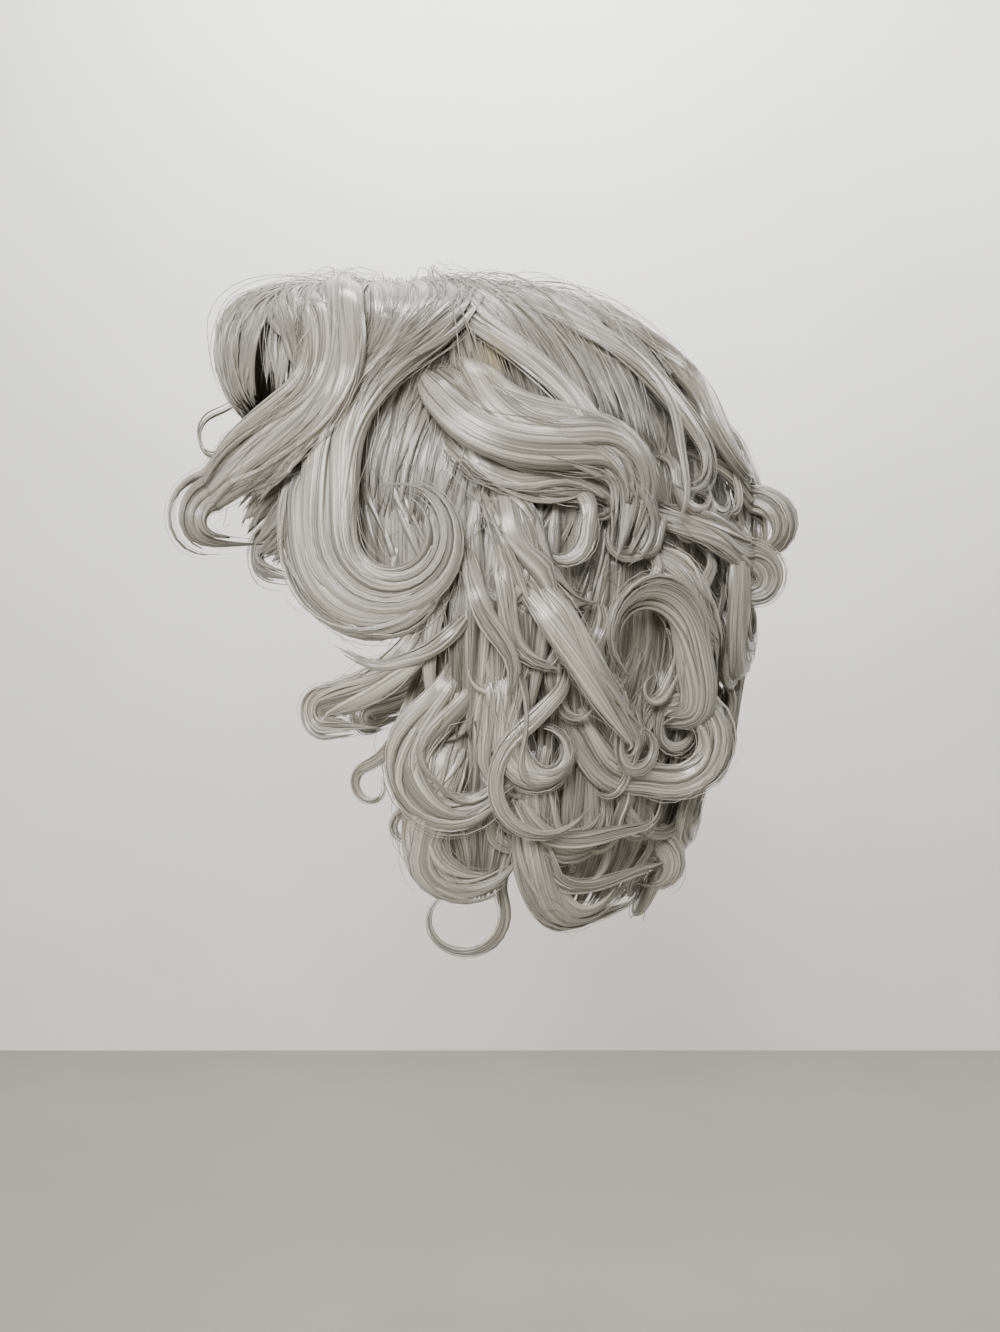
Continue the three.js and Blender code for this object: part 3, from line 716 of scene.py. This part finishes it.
def hair_material(name, stops, roughness):
    """Silky fibre in colours from a dark hair to a pale one."""
    material, tree, shader = new_material(name)
    fibre = node(tree, "ShaderNodeUVMap", {"uv_map": "fibre"})
    noises = []
    for lines in (FIBRE_LINES, CLUMP_LINES):
        drawn = node(tree, "ShaderNodeMapping", {},
                     {"Vector": fibre.outputs[0], "Scale": (1 / lines["wide"], 1 / lines["run"], 1)})
        noises.append(node(tree, "ShaderNodeTexNoise", {"noise_dimensions": "2D"},
                           {"Vector": drawn.outputs[0], "Scale": 1.0, **lines["noise"]}))
    fine, clump = (noise.outputs["Fac"] for noise in noises)
    both = node(tree, "ShaderNodeMix", {"data_type": "FLOAT"}, {"Factor": CLUMP_SHARE, "A": fine, "B": clump})
    ramp = node(tree, "ShaderNodeValToRGB", {}, {"Fac": both.outputs["Result"]})
    set_ramp(ramp, stops)
    tone = node(tree, "ShaderNodeAttribute", {"attribute_name": "tone"})
    shade = node(tree, "ShaderNodeVectorMath", {"operation": "SCALE"},
                 {"Vector": ramp.outputs["Color"], "Scale": tone.outputs["Fac"]})
    bump = node(tree, "ShaderNodeBump", {}, {**FIBRE_BUMP, "Height": both.outputs["Result"]})
    run = node(tree, "ShaderNodeTangent", {"direction_type": "UV_MAP", "uv_map": "fibre"})
    tree.links.new(net_shown(tree, shade.outputs[0]), shader.inputs["Base Color"])
    tree.links.new(bump.outputs[0], shader.inputs["Normal"])
    tree.links.new(run.outputs[0], shader.inputs["Tangent"])
    shader.inputs["Roughness"].default_value = roughness
    for key, value in HAIR_FINISH.items():
        shader.inputs[key].default_value = value
    return material


# The cap is knitted stretch net with hair sewn on in rows.
# The eye gets an open mesh on a dull tan ground, and a grey stitched row every 12 mm.
# A real mesh is about 1 mm, which is too fine to show, so it is drawn at 1.8 mm.
NET_STOPS = ((0.03, "#7D6A50"), (0.2, "#BBAA8C"))
WEFT_COLOUR = "#8A8478"
MESH_PITCH = 1.8
MESH_RANDOM = 0.25
MESH_BUMP = {"Strength": 0.5, "Distance": 0.4 * METRES}
WEFT_PITCH = 12.0
WEFT_RUN = 60.0
WEFT_WAVER = {"Distortion": 0.6, "Detail": 2.0}
WEFT_EDGE = {"From Min": 0.72, "From Max": 0.95, "To Max": 0.85}
NET_ROUGHNESS = 0.85
# A wave node's bands repeat every pi / 10, so this scale gives one band per unit.
WAVE_UNIT = math.pi / 10


def net_material():
    """Tan net with stitched rows."""
    material, tree, shader = new_material("stretch net and wefts")
    weave = node(tree, "ShaderNodeUVMap", {"uv_map": "fibre"})
    mesh = node(tree, "ShaderNodeMapping", {},
                {"Vector": weave.outputs[0], "Scale": (1 / MESH_PITCH, 1 / MESH_PITCH, 1)})
    net = node(tree, "ShaderNodeTexVoronoi", {"voronoi_dimensions": "2D", "feature": "DISTANCE_TO_EDGE"},
               {"Vector": mesh.outputs[0], "Scale": 1.0, "Randomness": MESH_RANDOM})
    weft = node(tree, "ShaderNodeMapping", {},
                {"Vector": weave.outputs[0], "Scale": (1 / WEFT_RUN, 1 / WEFT_PITCH, 1)})
    rows = node(tree, "ShaderNodeTexWave", {"bands_direction": "Y"},
                {"Vector": weft.outputs[0], "Scale": WAVE_UNIT, **WEFT_WAVER})
    net_ramp = node(tree, "ShaderNodeValToRGB", {}, {"Fac": net.outputs["Distance"]})
    set_ramp(net_ramp, NET_STOPS)
    sewn = node(tree, "ShaderNodeMapRange", {}, {"Value": rows.outputs["Fac"], **WEFT_EDGE})
    colour = node(tree, "ShaderNodeMix", {"data_type": "RGBA"},
                  {"Factor": sewn.outputs[0], MIX_A: net_ramp.outputs["Color"], MIX_B: linear(WEFT_COLOUR)})
    bump = node(tree, "ShaderNodeBump", {}, {**MESH_BUMP, "Height": net.outputs["Distance"]})
    tree.links.new(colour.outputs[MIXED], shader.inputs["Base Color"])
    tree.links.new(bump.outputs[0], shader.inputs["Normal"])
    shader.inputs["Roughness"].default_value = NET_ROUGHNESS
    return material


# Studio paint is matt and gives the eye one even colour with a faint broad mottle.
MOTTLE_PER_METRE = 6.0
MOTTLE_DETAIL = 4.0
MOTTLE_LIMITS = (0.3, 0.7)
PAINT_ROUGHNESS = 0.6


def paint_material(name, dark, pale):
    """Matt paint between two near colours."""
    material, tree, shader = new_material(name)
    place = node(tree, "ShaderNodeTexCoord")
    mottle = node(tree, "ShaderNodeTexNoise", {},
                  {"Vector": place.outputs["Object"], "Scale": MOTTLE_PER_METRE, "Detail": MOTTLE_DETAIL})
    ramp = node(tree, "ShaderNodeValToRGB", {}, {"Fac": mottle.outputs["Fac"]})
    set_ramp(ramp, list(zip(MOTTLE_LIMITS, (dark, pale))))
    tree.links.new(ramp.outputs["Color"], shader.inputs["Base Color"])
    shader.inputs["Roughness"].default_value = PAINT_ROUGHNESS
    return material


def put_in_scene(name, data):
    """A new object of some data, linked to the scene."""
    made = bpy.data.objects.new(name, data)
    bpy.context.scene.collection.objects.link(made)
    return made


def add_piece(name, data, material, slot, *nodes):
    """Puts a piece in the scene with its material, its body and the nodes it stands for; its slot is not
    used.
    """
    piece = put_in_scene(name, data)
    data.materials.append(material)
    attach(piece, "root")
    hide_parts(*nodes)


# Shells: the net cap, and the combed hair under the locks
MAP_RADIUS = 95.0
# The shells carry this lower tone as painted shade for the combed hair under the locks; the net's material
# doesn't read it.
SHELL_SHADE_TONE = 0.8
SEAT = 1.5
SEAM = 0.1
MAT_SINK = 6.0
MAT_LEAST = 0.5
MAT_STEP = 3.0
MAT_ROWS = 30


def shell_mesh(name, lons, low_at, high_at, inner_at, outer_at, rows, closed):
    """A closed curved shell, with its map in millimetres round and up."""
    low, high = low_at(lons), high_at(lons)
    share = np.linspace(0, 1, rows + 1)
    lat = low[:, None] + (high - low)[:, None] * share[None, :]
    lon = np.broadcast_to(lons[:, None], lat.shape)
    way = way_to(lon, lat)
    outer = place_at(way, outer_at(way, lon, lat))
    inner = place_at(way, inner_at(way))
    rings = np.concatenate([outer, inner[:, ::-1]], axis=1)
    n, k = rings.shape[:2]
    numbers = np.arange(n * k).reshape(n, k)
    after = np.roll(numbers, -1, axis=1)
    follow = np.roll(numbers, -1, axis=0) if closed else numbers[1:]
    last = n if closed else n - 1
    after_follow = np.roll(follow, -1, axis=1)
    walls = np.stack([numbers[:last], follow[:last], after_follow[:last], after[:last]], axis=-1)
    faces = walls.reshape(-1, 4).tolist()
    if not closed:
        half = k // 2
        for j in range(half - 1):
            faces.append([numbers[0, j], numbers[0, j + 1], numbers[0, k - 2 - j], numbers[0, k - 1 - j]])
            faces.append([numbers[-1, j + 1], numbers[-1, j], numbers[-1, k - 1 - j], numbers[-1, k - 2 - j]])
    # The map runs the same way inside and outside
    run = np.concatenate([lat, lat[:, ::-1]], axis=1)
    round_mm = np.radians(np.broadcast_to(lons[:, None], run.shape)) * MAP_RADIUS
    maps = np.stack([round_mm, np.radians(run) * MAP_RADIUS], axis=-1).reshape(-1, 2)
    tones = np.full(n * k, SHELL_SHADE_TONE)
    data = fibre_mesh(name, rings.reshape(-1, 3), faces, maps[np.array(faces).ravel()], tones)
    data.validate()
    data.update()
    return data


def mat_seat(way):
    """Inner radius of the combed hair, just over the cap."""
    return cap_radius(way) + SEAT


def mat_radius(way, lon, lat):
    """Outer radius of the combed hair between the locks."""
    return np.maximum(backing_radius(way, lon, lat) - MAT_SINK, mat_seat(way) + MAT_LEAST)


def mat_mesh(name, section):
    """The combed hair of a section, a seam's width inside its ends."""
    low, high = section["lons"]
    lons = np.linspace(low + SEAM, high - SEAM, round((high - low) / MAT_STEP) + 1)
    return shell_mesh(name, lons, section["low"], section["high"], mat_seat, mat_radius, MAT_ROWS, False)


def mat_height(lon, lat):
    """Height of the combed hair over the hair's form."""
    way = way_to(lon, lat)
    return mat_radius(way, lon % 360, lat) - hair_radius(way)


# The locks shine. The combed hair under them is rougher, and its colours are painted a little darker and with
# less between its hairs: painted shade, as it lies in the locks' shade.
HAIR_STOPS = ((0.32, "#585247"), (0.5, "#979185"), (0.68, "#D0CABC"))
HAIR_ROUGHNESS = 0.25
UNDER_SHADE_STOPS = ((0.34, "#5A5449"), (0.5, "#948D80"), (0.66, "#B9B2A4"))
UNDER_ROUGHNESS = 0.38
hair = hair_material("silver synthetic hair", HAIR_STOPS, HAIR_ROUGHNESS)
under_hair = hair_material("silver synthetic hair, combed flat, in painted shade", UNDER_SHADE_STOPS, UNDER_ROUGHNESS)

left_locks = [named_lock(row) for row in LEFT_LOCKS]
paired_locks = [lock for lock in left_locks if lock["name"] in PAIRED]
right_locks = [right_partner(lock, number) for number, lock in enumerate(paired_locks, FIRST_PARTNER)]
slim_locks = [named_lock(row) for row in SLIM_LOCKS]
main_locks = left_locks + right_locks + [named_lock(row) for row in BACK_LOCKS]

# Limits of a fill curl's sizes. The first four are steps from its root to its bend and on to its curl.
FILL_CURL = {
    "via_lon": (-5, 5), "via_drop": (5, 9), "curl_lon": (3, 7), "curl_drop": (2, 6), "radius": (6, 12),
    "join": (-25, 25), "sweep": (120, 300), "width": (4, 8), "lift": (-5, 0), "stand": (-10, 20),
    "roll": (-40, 40),
}


def fill_lock(rng, lon, lat):
    """A small curl that lies low between the main locks and turns to either side."""
    way = 1 if rng.random() < 0.5 else -1
    drawn = {key: rng.uniform(*limits) for key, limits in FILL_CURL.items()}
    via_lon, via_lat = lon + drawn["via_lon"], lat - drawn["via_drop"]
    return {
        **drawn,
        "name": "fill",
        "root_lon": lon,
        "root_lat": lat,
        "via_lon": via_lon,
        "via_lat": via_lat,
        "curl_lon": via_lon + way * drawn["curl_lon"],
        "curl_lat": via_lat - drawn["curl_drop"],
        "join": (180 if way > 0 else 0) + drawn["join"],
        "sweep": way * drawn["sweep"],
        "tail": 0,
    }


# Combed flows of the left side. Each is spread between its front and rear edges: rows of longitude, latitude
# and height over the hair's form. The right side has the same flows mirrored.
# A flow's tones sit mostly below the locks': painted shade for combed hair that lies under them, darkest for
# the fills deep under the locks.
FLOW_COLUMNS = ("name", "section", "wisps", "strands", "tones", "front", "rear")
COMBED_FLOWS = (
    ("temple_flow", "hair", 60, 50, (0.7, 0.88),
     ((1.5, 58, -6), (30, 60, -1), (47, 45, -3), (54, 27, -9)),
     ((1.5, 84, -6), (66, 71, -1), (84, 49, -3), (86, 28, -9))),
    ("patch_flow", "hair", 46, 50, (0.7, 0.88),
     ((1.5, 84, -6), (66, 71, -1), (86, 49, -3), (90, 30, -7), (92, 14, -10)),
     ((40, 88, -6), (104, 71, -1), (120, 50, -3), (126, 32, -7), (128, 14, -10))),
    ("back_flow", "hair", 46, 50, (0.7, 0.88),
     ((40, 88, -6), (104, 71, -1), (120, 50, -3), (126, 26, -9)),
     ((150, 86, -6), (148, 60, -1), (138, 38, -3), (138, 14, -9))),
    ("jaw_feed", "hair", 40, 30, (0.74, 0.92),
     ((1.5, 70, -6), (40, 63, -1), (62, 49, 0), (67, 35, 1), (65, 21, 1), (62, 8, 0)),
     ((20, 84, -3), (80, 73, -1), (94, 56, 1), (87, 42, 2), (74, 26, 2), (67, 9, 0))),
    ("ear_fall", "hair", 16, 8, (0.7, 0.9),
     ((84, 6, -10), (84, -12, -8), (85, -26, -5), (86, -40, -4)),
     ((112, 6, -10), (110, -12, -8), (108, -26, -5), (106, -42, -4))),
    ("neck_fill", "hair", 18, 8, (0.62, 0.82),
     ((86, -36, -12), (85, -48, -8), (87, -58, -6), (92, -66, -7)),
     ((112, -36, -12), (110, -48, -9), (108, -58, -8), (105, -66, -9))),
    ("temple_fill", "fringe", 28, 14, (0.58, 0.82),
     ((54, 22, -9), (47, 14, -5), (39, 8, -2), (32, 3, -1)),
     ((62, 18, -9), (59, 4, -7), (52, -6, -6), (44, -10, -7))),
    ("quiff_front", "fringe", 64, 24, (0.82, 1.0),
     ((-3, 74, -4), (-3, 60, -1), (-2, 50, 0), (-2, 42, 0), (-1, 36, -2), (1, 31, -8), (2, 29, -14)),
     ((10, 74, -4), (22, 60, -2), (34, 50, -1), (36, 43, -1), (33, 37, -4), (28, 32, -10), (24, 31, -16))),
    ("quiff_arch", "fringe", 26, 30, (0.82, 1.0),
     ((8, 74, -4), (20, 58, -2), (32, 48, -1), (42, 42, -1), (49, 36, -2), (52, 30, -3), (50, 23, -5)),
     ((8, 76, -4), (28, 64, -2), (42, 52, -1), (50, 44, -1), (55, 36, -1), (56, 29, -2), (53, 22, -2))),
    ("quiff_temple", "fringe", 40, 40, (0.84, 1.02),
     ((4, 76, -4), (28, 64, -1), (44, 52, 0), (53, 42, 0), (57, 33, 1), (57, 27, 1), (52, 19, 3),
      (43, 13, 4), (35, 9, 4)),
     ((4, 78, -4), (36, 68, -1), (54, 55, 0), (62, 43, 1), (65, 33, 1), (66, 26, 2), (62, 17, 4),
      (54, 9, 5), (46, 4, 4))),
    ("quiff_lining", "fringe", 22, 30, (0.8, 1.1),
     ((22, 58, -5), (32, 49, -4), (37, 40, -4), (37, 30, -7)),
     ((40, 58, -4), (48, 48, -4), (52, 38, -5), (51, 28, -8))),
    ("nape_lining", "nape", 46, 16, (0.64, 0.86),
     ((112, -34, -12), (113, -46, -9), (117, -57, -6), (121, -67, -6)),
     ((180, -34, -12), (180, -46, -9), (180, -57, -7), (180, -66, -8))),
    ("patch_lining", "hair", 40, 30, (0.62, 0.84),
     ((82, 46, -7), (75, 32, -8), (70, 17, -9), (68, 2, -11)),
     ((102, 42, -7), (98, 27, -8), (94, 12, -8), (90, -4, -10))),
    ("whorl", "back", 30, 0, (0.74, 0.9),
     ((10, 88, -5), (60, 82, -2), (84, 72, -3)),
     ((180, 87, -5), (180, 78, -2), (180, 64, -3))),
    ("crown_flow", "back", 48, 44, (0.7, 0.88),
     ((144, 87, -6), (139, 64, -1), (135, 44, -2), (139, 24, -9)),
     ((180, 86, -6), (180, 62, -1), (180, 44, -2), (180, 24, -9))),
)
SECTION_PAIRS = {
    "hair": ("left_hair", "right_hair"),
    "fringe": ("fringe_left", "fringe_right"),
    "back": ("back_hair", "back_hair"),
    "nape": ("nape_hair", "nape_hair"),
}

# How the flows are drawn: broad wisps, and loose hairs that rise a little over them
FLOW_STRAY = np.array([2.0, 1.5, 0.8])
FLOW_CORNERS = 7
FLOW_POINTS = 23
POINTS_PER_STOP = 3
SPARE_POINTS = 4
FLOW_HALF = (1.8, 4.4)
FLOW_THIN = (0.4, 0.8)
LOOSE_RISE = (0.5, 3)
LOOSE_LIFT = (1.0, 1.0, 2.4)
LOOSE_TONE = (0.9, 1.15)


def draw_flow(fibres, rng, flow, side):
    """Broad wisps with fine loose hairs over them, spread between a flow's two edges."""
    front, rear = np.array(flow["front"], dtype=float), np.array(flow["rear"], dtype=float)
    count = min(POINTS_PER_STOP * len(front) + SPARE_POINTS, FLOW_POINTS)
    for k in range(flow["wisps"] + flow["strands"]):
        share = rng.uniform(0, 1)
        stops = front + (rear - front) * share + rng.uniform(-1, 1, front.shape) * FLOW_STRAY
        stops[:, 0] *= side
        if k < flow["wisps"]:
            half, thin = rng.uniform(*FLOW_HALF), rng.uniform(*FLOW_THIN)
            draw_combed(fibres, rng, stops, half, thin, FLOW_CORNERS, rng.uniform(*flow["tones"]), count)
        else:
            half = rng.uniform(*FINE_RADIUS)
            stops[1:-1, 2] += rng.uniform(*LOOSE_RISE) * rng.choice(LOOSE_LIFT)
            draw_combed(fibres, rng, stops, half, half, 0, rng.uniform(*LOOSE_TONE), count)


def draw_flows(fibres, rng, name):
    """The combed flows of a section, as listed on the left and mirrored on the right."""
    for row in COMBED_FLOWS:
        flow = dict(zip(FLOW_COLUMNS, row))
        for side, section in zip((1, -1), SECTION_PAIRS[flow["section"]]):
            if section == name:
                draw_flow(fibres, rng, flow, side)


# A loose loop of a few hairs that hangs from the right end of the front roll
FOREHEAD_LOOP = {
    "section": "fringe_right",
    "stops": ((344, 34, -14), (348, 26, -6), (352, 20, 4), (354, 19, 11), (353.5, 22, 14), (352, 25.5, 11),
              (349, 29, 3), (345, 34, -8)),
    "hairs": 7,
    "stray": (0.5, 0.6, 0.7),
    "half": (0.25, 0.5),
    "tones": (0.9, 1.1),
    "points_per_stop": 4,
}


def draw_loop(fibres, rng, loop):
    """Hairs that follow a loop side by side."""
    stops = np.array(loop["stops"], dtype=float)
    count = loop["points_per_stop"] * len(stops)
    for _ in range(loop["hairs"]):
        half = rng.uniform(*loop["half"])
        strayed = stops + rng.uniform(-1, 1, 3) * loop["stray"]
        draw_combed(fibres, rng, strayed, half, half, 0, rng.uniform(*loop["tones"]), count)


# Under-hair between the locks: flat wisps on the backing, and fine loose hairs over them
LOWEST = -60
FUZZ_TOP = 46
FUZZ_CLEAR = 4
FUZZ_HANG = 2
FUZZ_SINK = 1
FUZZ_START = (-3, 3)
FUZZ_TIP = 0.35
FUZZ_POINTS = 8
# The layers' tones sit mostly below the locks': painted shade for under-hair that lies beneath them.
FUZZ_LAYERS = (
    {"step": 6.2, "lifts": (0.1, 0.8), "halves": (1.0, 2.2), "thin": 0.3, "corners": 5,
     "tones": (0.78, 0.95), "drop": (18, 28), "sway": 1.2},
    {"step": 4.8, "lifts": (0.6, 4.5), "halves": (0.08, 0.14), "thin": 0.11, "corners": 0,
     "tones": (0.8, 1.1), "drop": (10, 22), "sway": 5.0},
)
# A hair has this much of its lean a third and two thirds of the way down
LEAN_SHARES = (0.25, 0.65)
# Waves of the lean: its size, and how fast it turns with longitude and latitude
LEAN_WAVES = ((7, 5.5, 4), (4, 2.6, -6))


def combed_lean(lon, lat):
    """How far under-hair leans to one side: it changes slowly over the wig, so neighbours lie together."""
    waves = ((size, math.radians(by_lon * lon + by_lat * lat)) for size, by_lon, by_lat in LEAN_WAVES)
    return sum(size * math.sin(angle) for size, angle in waves)


def draw_fuzz_hair(fibres, rng, layer, lon, lat):
    """One wisp or hair of a layer, from its root on the backing down to its tip."""
    lean = combed_lean(lon, lat) + rng.normal(0, layer["sway"])
    lift, half = rng.uniform(*layer["lifts"]), rng.uniform(*layer["halves"])
    start = lon + rng.uniform(*FUZZ_START)
    foot = max(lat - rng.uniform(*layer["drop"]), hair_foot(lon) - FUZZ_HANG)
    bow = rng.normal(0, layer["sway"])
    route = (
        (start, lat, -FUZZ_SINK),
        (start + lean * LEAN_SHARES[0] + bow, (2 * lat + foot) / 3, lift),
        (start + lean * LEAN_SHARES[1] + bow, (lat + 2 * foot) / 3, lift),
        (start + lean, foot, -FUZZ_SINK),
    )
    stops = [(a, b, mat_height(a, b) + over) for a, b, over in route]
    tone = rng.uniform(*layer["tones"])
    draw_combed(fibres, rng, stops, half, layer["thin"], layer["corners"], tone, FUZZ_POINTS, FUZZ_TIP)


def draw_fuzz(fibres, rng, section):
    """The under-hair of a section, on a grid for each layer."""
    for layer in FUZZ_LAYERS:
        for lat in np.arange(LOWEST, FUZZ_TOP, layer["step"]):
            for lon in np.arange(*section["lons"], layer["step"]):
                foot = max(section["low"](lon), hair_foot(lon) + FUZZ_CLEAR)
                if foot < lat < section["high"](lon):
                    draw_fuzz_hair(fibres, rng, layer, lon, lat)


# Fill curls stand on a loose grid below a latitude that depends on the longitude
FILL_STEP = 11.0
FILL_TOP = {0: -30, 84: -30, 100: -12, 120: 20, 180: 26}
FILL_CLEAR = 10
FILL_INSETS = (3, 2)
FILL_STRAY = (-4, 4)


def fill_locks(rng, section):
    """The fill curls of a section, clear of its borders."""
    low, high = section["lons"]
    locks = []
    for lat in np.arange(LOWEST, max(FILL_TOP.values()), FILL_STEP):
        for lon in np.arange(low + FILL_INSETS[0], high - FILL_INSETS[1], FILL_STEP):
            own_lon, own_lat = lon + rng.uniform(*FILL_STRAY), lat + rng.uniform(*FILL_STRAY)
            foot = max(section["low"](lon), hair_foot(own_lon % 360) + FILL_CLEAR)
            top = min(section["high"](lon), edge_at(FILL_TOP, own_lon % 360))
            if foot < own_lat < top:
                locks.append(fill_lock(rng, own_lon, own_lat))
    return locks


# The hair of each section: its locks, the fill between them and the combed hair under both
for number, (name, section) in enumerate(SECTIONS.items()):
    rng = np.random.default_rng(SEED + number)
    locks = Fibres()
    for lock in main_locks:
        if section_of(lock) == name:
            draw_lock(locks, rng, lock, *main_counts(lock))
    for lock in slim_locks:
        if section_of(lock) == name:
            draw_lock(locks, rng, lock, *SLIM_COUNTS)
    if name == FOREHEAD_LOOP["section"]:
        draw_loop(locks, rng, FOREHEAD_LOOP)
    add_piece(name + "_locks", locks.mesh(name + "_locks"), hair, section["slot"], name)
    fill = Fibres()
    for lock in fill_locks(rng, section):
        draw_lock(fill, rng, lock, *FILL_COUNTS)
    draw_flows(fill, rng, name)
    draw_fuzz(fill, rng, section)
    add_piece(name + "_fill", fill.mesh(name + "_fill"), hair, section["slot"], name)
    add_piece(name + "_under", mat_mesh(name + "_under", section), under_hair, section["slot"], name)

# Net cap
CAP_COLUMNS = 72
CAP_ROWS = 24
cap_lons = np.arange(CAP_COLUMNS) * 360 / CAP_COLUMNS
cap_data = shell_mesh("net_cap", cap_lons, lambda lon: edge_at(CAP_EDGE, lon), crown_top,
                      lambda way: form_radius(HEAD_ROOM, way), lambda way, lon, lat: cap_radius(way),
                      CAP_ROWS, True)
add_piece("net_cap", cap_data, net_material(), "cap_net", "cap")

# Floor and backdrop
FLOOR_Z = -512
BACKDROP_X = -750
ROOM = 3000
FLOOR_CORNERS = ((BACKDROP_X, -ROOM, FLOOR_Z), (ROOM, -ROOM, FLOOR_Z),
                 (ROOM, ROOM, FLOOR_Z), (BACKDROP_X, ROOM, FLOOR_Z))
BACKDROP_CORNERS = ((BACKDROP_X, -ROOM, FLOOR_Z), (BACKDROP_X, ROOM, FLOOR_Z),
                    (BACKDROP_X, ROOM, ROOM), (BACKDROP_X, -ROOM, ROOM))


def stage_plane(name, corners, material):
    """A flat sheet of the stage."""
    data = bpy.data.meshes.new(name)
    data.from_pydata([tuple(v * METRES for v in corner) for corner in corners], [], [(0, 1, 2, 3)])
    data.materials.append(material)
    put_in_scene(name, data)


stage_plane("floor", FLOOR_CORNERS, paint_material("grey studio paint", "#8A877C", "#908D82"))
stage_plane("backdrop", BACKDROP_CORNERS, paint_material("pale studio paint", "#EAE9E4", "#F0EFEA"))

# Soft lamps: name, place, target and size in metres, and watts
WIG_MIDDLE = (0, 0.02, -0.12)
BACKDROP_MIDDLE = (-0.75, 0, 0.42)
LAMPS = (
    ("key", (0.95, -0.15, 0.3), WIG_MIDDLE, 0.45, 12),
    ("front", (0.85, -0.7, 0.1), WIG_MIDDLE, 0.4, 5),
    ("backdrop_wash", (-0.25, 0, 0.8), BACKDROP_MIDDLE, 0.6, 17),
    ("far_fill", (-0.45, 0.8, 0.55), WIG_MIDDLE, 0.5, 6),
)
SKY_COLOUR = "#E8E8E6"
SKY_STRENGTH = 0.58


def area_light(name, place, target, size, watts):
    """A round lamp that faces its target and isn't seen itself."""
    data = bpy.data.lights.new(name, "AREA")
    data.shape = "DISK"
    data.size = size
    data.energy = watts
    lamp = put_in_scene(name, data)
    lamp.location = place
    ahead = np.array(target) - np.array(place)
    tilt = math.acos(-ahead[2] / np.linalg.norm(ahead))
    heading = math.atan2(ahead[1], ahead[0]) - math.pi / 2
    lamp.rotation_euler = (tilt, 0, heading)
    lamp.visible_camera = False


for lamp_row in LAMPS:
    area_light(*lamp_row)
world = bpy.data.worlds.new("soft room")
world.use_nodes = True
sky = world.node_tree.nodes["Background"]
sky.inputs["Color"].default_value = linear(SKY_COLOUR)
sky.inputs["Strength"].default_value = SKY_STRENGTH
bpy.context.scene.world = world

# Camera on the wearer's left, level with the lower part of the wig
CAMERA_PLACE = (0.600, 0.0185, -0.1487)
CAMERA_LENS = 38.6
CAMERA_SENSOR = 36
camera_data = bpy.data.cameras.new("camera")
camera_data.sensor_width = CAMERA_SENSOR
camera_data.lens = CAMERA_LENS
camera = put_in_scene("camera", camera_data)
camera.location = CAMERA_PLACE
camera.rotation_euler = (math.pi / 2, 0, math.pi / 2)
bpy.context.scene.camera = camera
